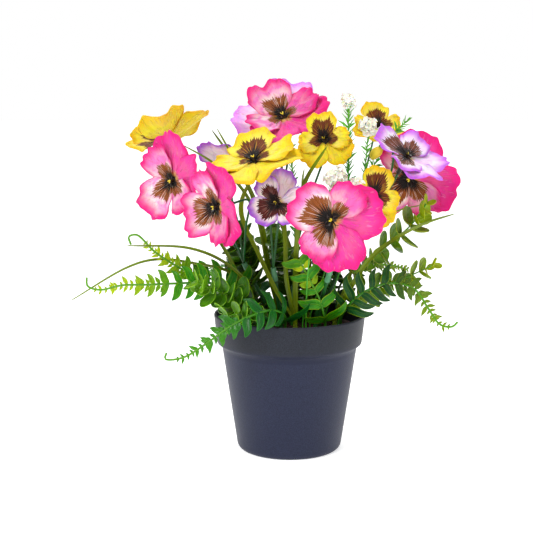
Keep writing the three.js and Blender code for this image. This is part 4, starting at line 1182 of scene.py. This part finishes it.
def leaflet(stock, here, sign, length, width, droop, share, chance):
    at, ahead, side, front = here
    out = unit(side * sign + ahead * LEAN)
    across = unit(ahead - out * (ahead @ out))
    s = np.linspace(0, 1, 17)[:, None]
    x = np.linspace(-1, 1, 9)[None, :]
    lance = np.sin(math.pi * s ** 0.7) ** 0.62
    drop = np.sin(math.pi * np.clip((s - 0.1) / 0.9, 0, 1) ** 0.62)
    young = 1 - smooth(length, DROPS_BELOW, LANCES_ABOVE)
    wide = np.maximum((1 - young) * lance + young * 0.8 * drop, 0.10 * (1 - s)) * width * 0.56
    wide = np.maximum(wide, STALK * (s < 0.5))
    sway = 0.05 * length * np.sin(2 * math.pi * s) * (1 - young) + 0.08 * length * s * s
    bend = -(0.03 + 0.36 * droop) / 0.2304
    rise = ((-droop - bend) * s + bend * s * s) * length
    fold = 0.22 * np.abs(x) * wide + 0.25 * np.sin(9 * s + 12 * chance) * (wide / max(width, 0.1))
    middle = (at + (s * length)[..., None] * out + (x * wide + sway)[..., None] * across
              + (rise + fold)[..., None] * front)
    sheet(stock, middle, LEAF_CLOTH, (share, chance))


print("leaflets under", DROPS_BELOW, "mm are drops")

# %% [markdown]
# ## Fern fronds
# A frond is a stem with pairs of leaflets that shrink towards its curled tip. Between and beyond the pairs
# of the solid stand younger, smaller ones, as on a real frond. An array along a curve would repeat one leaf,
# and here each pair gets its own length and droop.

# %% Write down the fronds
def frond(foot, points, face, pairs, base, tip, first, last, **own):
    return dict(foot=foot, points=points, face=face, pairs=pairs, base=base, tip=tip, first=first, last=last, **own)


FRONDS = {
    "frond_curl": frond(
        (-34, -5), [(-39, -9, 126), (-51, -12, 136), (-72, -18, 141), (-89, -24, 151), (-104, -28, 162),
                    (-117, -30, 175), (-123, -30, 173.5), (-121.5, -30, 167.5)],
        (0, -0.95, 0.3), 10, 21, 5, 0.34, 0.84),
    "frond_left": frond(
        (-38, -14), [(-44, -19, 126), (-60, -27, 137), (-86, -36, 138.6), (-108, -38, 138), (-128, -38, 137.5),
                     (-145, -38, 134), (-154, -38, 137), (-154.5, -38, 143.5)],
        (0, -0.95, 0.3), 11, 20, 5, 0.33, 0.9),
    "frond_front": frond(
        (-4, -36), [(-5, -47, 116), (-14, -57, 122), (-29, -64, 119.5), (-46, -68.5, 111.5), (-62, -70, 100),
                    (-80, -70, 89), (-93, -70, 88), (-92, -70, 92.5)],
        (0.1, -0.85, 0.5), 10, 22, 5, 0.24, 0.88),
    "frond_heart": frond(
        (27, -27), [(26, -31, 112), (22, -33, 126), (14, -35, 142), (6, -35, 157)],
        (0.1, -0.95, 0.2), 5, 21, 14, 0.4, 0.95, fade=0.45, young=2),
    "frond_right": frond(
        (38, -18), [(45, -30, 121), (58, -40, 134), (76, -48, 141), (92, -51, 137), (103, -52, 122),
                    (112, -52, 110), (121, -52, 108.5), (125, -52, 112)],
        (0, -0.95, 0.25), 11, 21, 5, 0.3, 0.92),
    "frond_far": frond(
        (38, 16), [(42, 22, 128), (55, 28, 140), (70, 32, 142.5), (86, 35, 141), (98, 37, 137.5)],
        (0, -0.7, 0.7), 7, 15, 6, 0.38, 0.97),
    "frond_rear_left": frond(
        (-16, 30), [(-26, 40, 124), (-42, 56, 136), (-58, 74, 134), (-72, 90, 122), (-80, 100, 112),
                    (-84, 103, 114)],
        (0.3, -0.2, 0.93), 7, 18, 5, 0.32, 0.9),
    "frond_rear_right": frond(
        (16, 36), [(20, 48, 124), (28, 66, 137), (36, 86, 136), (44, 103, 124), (49, 113, 114), (52, 116, 117)],
        (0.1, -0.3, 0.95), 7, 18, 5, 0.32, 0.9),
}
FROND_PAINT = {"frond_front": "fern_blue", "frond_right": "fern_dark", "frond_far": "fern_dark",
               "frond_rear_right": "fern_dark", "frond_rear_left": "fern_blue"}
print(len(FRONDS), "fronds")

# %% [markdown]
# The leaflets grow in two rounds. The first takes only those whose tips the solid has, in full length or
# shortened and bent, and counts the rest. The second adds the young ones from the middle of the frond on.

# %% Grow the fronds
LEAFLET_TRIES = [(1, 0), (1, -0.25), (1, 0.25), (0.7, 0), (0.7, -0.3), (0.7, 0.3)]
YOUNG_PAIRS, YOUNG_FROM, YOUNG_SPAN, YOUNG_SIZE = 14, 0.5, 0.56, 0.62


def frond_place(line, notes, share):
    """A place on the frond, and the length of its leaflets there."""
    u = notes["first"] + (notes["last"] - notes["first"]) * share
    return line.frame(u), notes["base"] + (notes["tip"] - notes["base"]) * min(share, 1)


def add_solid_pair(stock, name, notes, line, tree, k):
    share = k / (notes["pairs"] - 1)
    here, size = frond_place(line, notes, share)
    at, ahead, side, front = here
    missing = 0
    for sign in (-1, 1):
        length = size * (1 + 0.1 * vary(k, sign))
        droop = 0.14 + 0.08 * vary(k, sign + 2)
        out = unit(side * sign + ahead * LEAN)
        way = first_there(tree, LEAFLET_TRIES,
                          lambda scale, bend: at + (out - (droop + bend) * front) * length * scale)
        if way is None:
            missing += 1
            continue
        scale, bend = way
        leaflet(stock, here, sign, length * scale, length * scale * (0.35 + 0.08 * share), droop + bend,
                share * notes.get("fade", 1.0), chance_of(name, 2 * k + sign))
    return missing


def make_frond(name, notes):
    stock, tree = Stock(), tips_of(name)
    line = Line(rooted(notes["foot"], notes["points"]), notes["face"])
    tube(stock, line, taper(1.05, 0.25), 90, 8, paint=1)
    missing = sum(add_solid_pair(stock, name, notes, line, tree, k) for k in range(notes["pairs"]))
    young_pairs = notes.get("young", YOUNG_PAIRS)
    for k in range(young_pairs):
        share = YOUNG_FROM + YOUNG_SPAN * (k + 0.5) / young_pairs
        here, size = frond_place(line, notes, share)
        for sign in (-1, 1):
            length = YOUNG_SIZE * size * (1 + 0.12 * vary(k, sign + 5))
            leaflet(stock, here, sign, length, length * 0.5, 0.1 + 0.3 * vary(k, sign), share, chance_of(name, k + 60))
    put(stock, name, [greens[FROND_PAINT.get(name, "fern_lime")], greens["frond_stem"]])
    return missing


print("leaflets left out:", {name: make_frond(name, notes) for name, notes in FRONDS.items()})

# %% [markdown]
# ## Oval leaves
# Round and oval leaves stand in pairs on the sprigs. Each is cupped along its middle and held up towards
# the light. The tips of the solid's leaves fix where a leaf points. How it is twisted about its own middle
# is left free, so the leaves of the slim sprigs turn their faces outwards, as living ones do.

# %% Cut an oval leaf
OVAL_STALK = 0.55
WIDEST, WIDEST_TO_TIP = 0.54, 0.46


def to_light(at):
    """Outwards and up from the middle of the plant."""
    return unit(np.array([at[0] * 0.6, at[1] - 25, 12.0]))


def faced_out(here):
    """The same place on a stem, with its axis turned towards the light."""
    at, ahead, _, _ = here
    toward = unit(ahead * 0.45 + to_light(at))
    level = unit(np.cross(toward, (0.0, 0.0, 1.0)))
    return at, toward, level, np.cross(level, toward)


def oval_axes(here, sign, turn, rise):
    """The directions in which an oval leaf runs out, spreads and faces."""
    at, ahead, side, front = here
    bearing = math.radians(turn)
    away = swing(side * sign, front * sign, bearing)
    out = unit(away + ahead * rise)
    face = unit(ahead - away * rise)
    across = unit(np.cross(out, face))
    return at, out, across * (-sign if across @ ahead < 0 else sign), face


def oval_leaf(stock, here, sign, length, width, turn, rise, share, chance, twist=0.0):
    at, out, across, face = oval_axes(here, sign, turn, rise)
    if twist:
        face = face + twist * to_light(at)
        face = unit(face - (face @ out) * out)
        turned = unit(np.cross(out, face))
        across = turned if turned @ across > 0 else -turned
    s = (0.5 - 0.5 * np.cos(math.pi * np.linspace(0, 1, 19)))[:, None]
    x = np.sin(0.5 * math.pi * np.linspace(-1, 1, 13))[None, :]
    wide = 0.5 * width * np.sqrt(np.clip(1 - ((s - WIDEST) / WIDEST_TO_TIP) ** 2, 0, 1))
    wide = np.maximum(wide, OVAL_STALK * (s < 0.5))
    wave = 1 + 0.03 * np.sin(13 * s + 20 * chance)
    bowl = (4.3 * s * s - 3.3 * s + 1.3 * (1 - s ** 4) * x * x) * width * 0.12
    middle = (at + (s * length)[..., None] * out + (x * wide * wave)[..., None] * across
              + bowl[..., None] * face)
    sheet(stock, middle, LEAF_CLOTH, (share, chance))


print("an oval leaf is widest at", WIDEST, "of its length")

# %% [markdown]
# ## Leafy sprigs
# The notes for a sprig give each pair's place on the stem, its length, its width, how far it is turned
# round the stem and how steeply it rises. The full sprigs in the middle also have filling leaves between
# the pairs, which hide the wires.

# %% Write down the sprigs
def sprig(foot, points, face, pairs, **own):
    return dict(foot=foot, points=points, face=face, pairs=pairs, **own)


SPRIGS = {
    "sprig_left": sprig(
        (-30, -28), [(-35, -34, 122), (-46, -43, 131), (-57, -50, 136), (-70, -55, 143)], (0, -0.9, 0.4),
        [(0.46, 19, 18, 80, 0.5), (0.58, 19, 18, 20, 0.4), (0.7, 17, 16, 90, 0.4), (0.82, 17, 16, 20, 0.4),
         (0.92, 14, 11, 80, 0.5), (0.985, 11, 6, 20, 0.9)]),
    "sprig_low": sprig(
        (-20, -36), [(-28, -44, 114), (-38, -52, 119), (-48, -57, 117)], (0, -0.8, 0.6),
        [(0.62, 15, 13, 40, 0.4), (0.8, 16, 13, 100, 0.4), (0.97, 15, 10, 30, 0.5)]),
    "sprig_core": sprig(
        (8, 30), [(5, 26, 124), (-3, 22, 142), (-10, 20, 160), (-13, 20, 174)], (0, -1, 0.1),
        [(0.42, 19, 16, 30, 0.4), (0.58, 20, 17, 100, 0.4), (0.74, 19, 16, 20, 0.4), (0.9, 17, 13, 90, 0.5)],
        filling=4, low=0.12, grown=1.08),
    "sprig_inner": sprig(
        (24, 32), [(25, 28, 122), (27, 22, 142), (26, 18, 160), (22, 16, 176)], (0, -1, 0.1),
        [(0.42, 19, 15, 40, 0.4), (0.58, 19, 16, 110, 0.4), (0.74, 18, 14, 30, 0.4), (0.9, 16, 12, 90, 0.5)],
        filling=4, low=0.12, grown=1.08),
    "sprig_mid": sprig(
        (-24, 4), [(-27, 6, 128), (-33, 8, 150), (-41, 8, 168), (-50, 9, 181)], (0, -1, 0.1),
        [(0.5, 17, 17, 20, 0.4), (0.68, 19, 19, 100, 0.4), (0.84, 18, 17, 30, 0.4), (0.97, 14, 9, 90, 0.8)],
        filling=4, low=0.2, grown=1.08),
    "sprig_high": sprig(
        (36, 8), [(48, 8, 128), (66, 2, 152), (82, -5, 168), (94, -13, 181), (105, -20, 199)], (0, -1, 0.1),
        [(0.42, 20, 9, 80, 0.5), (0.56, 21, 10, 110, 0.5), (0.7, 19, 11, 70, 0.5), (0.84, 16, 13, 20, 0.5),
         (0.93, 12, 9, 100, 0.7), (0.99, 8, 4, 10, 1.1)],
        grown=1.1, twist=3.0, broad=1.35),
    "sprig_right": sprig(
        (41, -4), [(50, -8, 120), (68, -16, 131), (86, -24, 140), (100, -28, 147), (109, -30, 152)],
        (0, -0.8, 0.6),
        [(0.46, 16, 10, 90, 0.5), (0.62, 17, 11, 30, 0.5), (0.78, 14, 11, 90, 0.5), (0.9, 13, 9, 20, 0.6),
         (0.99, 9, 5, 100, 0.9)],
        grown=1.0, twist=1.0),
    "sprig_rear": sprig(
        (0, 38), [(0, 46, 122), (-4, 56, 142), (-10, 62, 162), (-18, 64, 178)], (0, 1, 0.1),
        [(0.5, 17, 15, 30, 0.4), (0.7, 18, 16, 100, 0.4), (0.86, 15, 13, 40, 0.5), (0.98, 11, 7, 90, 0.9)],
        filling=2),
}
# The middle and rear sprigs take the darker green copy, which is painted shade.
SPRIG_PAINT = {"sprig_high": "leaf_grey", "sprig_right": "leaf_grey", "sprig_rear": "leaf_shade",
               "sprig_core": "leaf_shade", "sprig_inner": "leaf_shade", "sprig_mid": "leaf_shade"}
print(len(SPRIGS), "sprigs")

# %% [markdown]
# As on the fronds, the first round of leaves looks up the tips of the solid. The filling leaves between
# them vary by chance in size, turn and rise, or they would stack like cones.

# %% Grow the sprigs
OVAL_TRIES = [(1, 0), (1, 24), (1, -24), (1, 48), (1, -48),
              (0.75, 0), (0.75, 30), (0.75, -30), (0.75, 60), (0.75, -60)]
FILLING, FILLING_SIZE = 1, 0.85
BEFORE_FIRST = 0.2


def add_solid_ovals(stock, name, notes, line, tree, k):
    u, length, width, turn, rise = notes["pairs"][k]
    here = line.frame(u)
    missing = 0
    for sign in (-1, 1):
        def tip_at(scale, aside):
            at, out, across, face = oval_axes(here, sign, turn + aside, rise)
            return at + (out * length + face * width * 0.12) * scale
        way = first_there(tree, OVAL_TRIES, tip_at)
        if way is None:
            missing += 1
            continue
        scale, aside = way
        oval_leaf(stock, here, sign, length * scale, width * scale * notes.get("broad", 1.0), turn + aside, rise,
                  k / len(notes["pairs"]), chance_of(name, 2 * k + sign), notes.get("twist", 0.0))
    return missing


def add_filling(stock, name, notes, line, k, before):
    after, length, width, turn, rise = notes["pairs"][k]
    filling = notes.get("filling", FILLING)
    for step in range(filling):
        here = faced_out(line.frame(before + (after - before) * (step + 1) / (filling + 1)))
        for sign in (-1, 1):
            chance = chance_of(name, 9 * k + 3 * step + sign + 40)
            grown = notes.get("grown", FILLING_SIZE) * (0.78 + 0.3 * chance)
            oval_leaf(stock, here, sign, length * grown, width * grown, turn + 40 + 50 * step + 50 * chance,
                      rise * 0.3 + 0.6 * chance, k / len(notes["pairs"]), chance)


def make_sprig(name, notes):
    stock, tree, pairs = Stock(), tips_of(name), notes["pairs"]
    line = Line(rooted(notes["foot"], notes["points"]), notes["face"])
    tube(stock, line, taper(0.9, 0.4), 60, 8, paint=1)
    missing = sum(add_solid_ovals(stock, name, notes, line, tree, k) for k in range(len(pairs)))
    for k in range(len(pairs)):
        before = pairs[k - 1][0] if k else notes.get("low", pairs[0][0] - BEFORE_FIRST)
        add_filling(stock, name, notes, line, k, before)
    put(stock, name, [greens[SPRIG_PAINT.get(name, "leaf_satin")], greens["frond_stem"]])
    return missing


print("leaves left out:", {name: make_sprig(name, notes) for name, notes in SPRIGS.items()})

# %% [markdown]
# ## Grass
# Each tuft gathers a few long folded blades in a short crown. They arch out, narrow to fine tips and catch
# the light on one side of the fold. A flat ribbon would need a second material to show that side.

# %% Draw out the grass
TUFTS = {
    # foot, then the half width and the points of each blade
    "grass_left": ((-27, -12), [
        (1.1, [(-32, -18, 133), (-50, -26, 153), (-76, -32, 165), (-124, -40, 168.3)]),
        (1, [(-43, -14, 141), (-78, -18, 152), (-104, -22, 155), (-124, -26, 150), (-168, -36, 125)]),
        (1.1, [(-42, -16, 145), (-57, -17, 172), (-78, -16, 196), (-88, -15, 203)])]),
    "grass_middle": ((4, -24), [
        (1.9, [(4, -28, 140), (4.9, -31, 171), (9, -37, 212), (27, -45, 244)]),
        (1.7, [(-10, -27, 130), (-24, -20, 158), (-38, -14, 192), (-31, -9, 213), (4, -4, 240)]),
        (1.5, [(-3, -28, 140), (-4, -25, 170), (-6, -20, 205), (-7, -12, 240)])]),
    "grass_rear": ((-9, 16), [
        (1.6, [(-16, 20, 140), (-24, 26, 184), (-36, 36, 212), (-52, 47, 236), (-64, 55, 252)]),
        (1.1, [(-17, 10, 140), (-26, -2, 186), (-40, -12, 212), (-61, -10, 229.5), (-85, 0, 242.5)]),
        (1.1, [(-18, 8, 150), (-31, -4, 206), (-47, -10, 238), (-57, -10, 256)])]),
    "grass_right": ((35, -14), [
        (1.5, [(47, -34, 137), (60, -40, 158.4), (78, -46, 174.5), (99, -50, 186.2), (121, -54, 194)]),
        (1, [(50, 0, 145), (63, 2, 176.6), (86, -2, 191), (102, -4, 195)])]),
    "grass_far": ((16, 24), [
        (1.3, [(17, 34, 140), (15, 50, 180), (12, 68, 206), (14, 84, 218)]),
        (1.3, [(8, 36, 136), (-4, 54, 168), (-14, 76, 190), (-22, 98, 192)])]),
}
CROWN = [(0, STEM_START), (2.1, STEM_START), (2.1, 99), (1.9, 102), (1.4, 105), (0, 105.2)]
BLADE_THICK, BLADE_FOLD, BLADE_TIP = 0.8, 0.9, 0.3


def add_blade(stock, foot, half_width, points, kind):
    lean = unit(np.array([points[-1][0] - foot[0], points[-1][1] - foot[1], NO_SIZE]))
    line = Line(rooted(foot, points), (lean[0] * 0.3, lean[1] * 0.3 - 0.6, 0.75))
    u = np.linspace(0, 1, 70)
    at, ahead, side, front = (v[:, None] for v in line.frames(u))
    share, across = u[:, None], np.linspace(-1, 1, 5)[None, :]
    wide = (half_width * np.minimum(1, 0.45 + 2 * share) * np.minimum(1, 2.6 * (1 - share)) ** 0.5
            + BLADE_TIP * np.minimum(1, 20 * (1 - share)))
    deep = BLADE_FOLD * np.minimum(1, 3 * (1 - share)) * (1 - np.abs(across))
    sheet(stock, at + (across * wide)[..., None] * side - deep[..., None] * front, BLADE_THICK, kind)


for name, (foot, blades) in TUFTS.items():
    stock = Stock()
    lathe(stock, CROWN, 16, (*foot, 0))
    for index, (half_width, points) in enumerate(blades):
        add_blade(stock, foot, half_width, points, (0.2 * index, chance_of(name, index)))
    put(stock, name, [greens["grass_olive"]])

# %% [markdown]
# ## Florets
# Some sprays end in a loose ball of tiny white florets. Every floret is a small five-lobed cup on a thread.
# They sit at the angle of a sunflower's seeds, which spaces any number evenly, and at uneven heights.
# Instances of one floret would be lighter, but each head has to be a mesh of its own.

# %% Gather the florets
FLORETS = 36
GOLDEN_TURN = math.pi * (3 - math.sqrt(5))
FLORET_SHAPE = [(0, -0.9), (0.25, -0.55), (0.6, -0.15), (0.92, 0.1), (1, 0.02), (0.92, -0.1), (0.6, -0.35),
                (0.25, -0.8), (0, -1.2)]
FLORET_LIFT = 0.8
THREAD = 0.3


def floret(stock, at, axis, radius, chance):
    level = unit(np.cross(axis, (0.3, 0.2, 0.9)))
    bearing = np.linspace(0, 2 * math.pi, 25, endpoint=False)
    lobe = 0.72 + 0.28 * np.abs(np.cos(2.5 * bearing + chance * 3))
    sweep = np.cos(bearing)[:, None] * level + np.sin(bearing)[:, None] * np.cross(axis, level)
    rows = []
    for share, lift in FLORET_SHAPE:
        reach = radius * share * (lobe if share > 0.4 else 1 + 0 * lobe)
        rows.append(at + reach[:, None] * sweep + axis * radius * lift * FLORET_LIFT)
    stock.grid(np.array(rows), kind=(0.0, chance))


def make_head(name, centre, radius):
    stock = Stock()
    for k in range(FLORETS):
        z = 1 - 2 * (k + 0.5) / FLORETS
        flat = math.sqrt(1 - z * z)
        axis = np.array([flat * math.cos(k * GOLDEN_TURN), flat * math.sin(k * GOLDEN_TURN), z])
        reach = radius * (0.45 + 0.8 * chance_of(name, k))
        size = radius * (0.26 + 0.16 * chance_of(name, k + 9))
        floret(stock, centre + axis * reach, axis, size, chance_of(name, k + 50))
        points = [centre, centre + axis * reach * 0.5, centre + axis * (reach - 0.5)]
        tube(stock, Line(points, (0.31, 0.52, 0.8)), lambda s: THREAD, 2, 4)
    put(stock, name, [greens["floret_white"]])


print(FLORETS, "florets in a head")

# %% [markdown]
# ## Sprays
# A spray is a thin stem with fine needles: the flat pairs of the solid, and between them many finer ones
# that stand out all round. A particle system would scatter them too, but it makes no mesh to weld.

# %% Grow the sprays
SPRAYS = {
    # foot, points, needles (first, last, count, length), floret head (place, radius)
    "spray_needles": ((16, -4), [(30, -4, 150), (44, -4, 200), (45, -4, 240)], (0.58, 0.9, 9, 9),
                      ((44.6, -2, 275), 6)),
    "spray_front": ((10, -19), [(15, -26, 140), (24, -40, 182)], (0.7, 0.9, 4, 7.5), ((32.4, -50, 219), 8.5)),
    "spray_side": ((12, -30), [(13, -42, 150), (19, -60, 194), (31, -71, 209)], (0.7, 0.86, 2, 6),
                   ((45, -78, 215), 6.5)),
    "spray_right": ((28, -2), [(44, -10, 160), (56, -14, 215)], (0.7, 0.9, 4, 6), ((60.2, -10, 256), 8)),
    "spray_far": ((28, 12), [(32, 14, 130), (44, 20, 165), (66, 26, 220), (84, 24, 250), (96, 22, 262)],
                  (0.76, 0.98, 5, 8), None),
    "spray_airy": ((2, 4), [(4, 8, 150), (4, 10, 195), (2, 14, 222), (0, 18, 240)], (0.6, 0.98, 6, 7), None),
}
FINE_PER_PAIR = 9


def add_flat_needles(stock, name, line, first, last, count, full_length):
    s, x = np.linspace(0, 1, 9)[:, None], np.linspace(-1, 1, 4)[None, :]
    wide = 0.1 + 0.75 * np.sin(math.pi * s ** 0.8)
    for k in range(count):
        at, ahead, side, front = line.frame(first + (last - first) * k / (count - 1))
        for sign in (-1, 1):
            out = unit(swing(side * sign, front * sign, k * 1.2) + ahead * 0.75)
            length = full_length * (1 + 0.15 * vary(k, sign))
            across = unit(np.cross(out, front + 0.2 * side))
            bow = 0.08 * length * np.sin(math.pi * s)
            middle = at + (s * length)[..., None] * out + (x * wide)[..., None] * across + bow[..., None] * ahead
            sheet(stock, middle, 0.4, (k / count, chance_of(name, k)))


def add_fine_needles(stock, name, line, first, count, full_length):
    for k in range(count):
        at, ahead, side, front = line.frame(first - 0.04 + (1.02 - first) * k / count)
        out = unit(swing(side, front, k * GOLDEN_TURN) + ahead * 0.9)
        length = full_length * (0.62 + 0.3 * chance_of(name, k + 70))
        points = [at, at + out * length * 0.5 + ahead * 0.2, at + out * length + ahead * 0.8]
        tube(stock, Line(points, ahead + 0.3 * side), lambda s: 0.8 * (1 - 0.8 * s * s), 4, 5,
             (k / count, chance_of(name, k)), flat=0.6)


for name, (foot, points, (first, last, count, length), head) in SPRAYS.items():
    stock = Stock()
    line = Line(rooted(foot, points + ([head[0]] if head else [])), (0.2, -0.95, 0.1))
    tube(stock, line, taper(0.62, 0.35), 70, 8)
    add_flat_needles(stock, name, line, first, last, count, length)
    add_fine_needles(stock, name, line, first, count * FINE_PER_PAIR, length)
    put(stock, name, [greens["spray_green"]])
    if head:
        make_head(name.replace("spray", "florets"), np.array(head[0], float), head[1])

# %% [markdown]
# ## Size and finish
# The dressed planter must keep the size of its solids, so both boxes are written down side by side.

# %% Compare the sizes
dressed_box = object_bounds()
as_lists = {"cad": [list(corner) for corner in cad_box], "dressed": [list(corner) for corner in dressed_box]}
for name, box in as_lists.items():
    print(name, [[round(value / MM, 1) for value in corner] for corner in box])
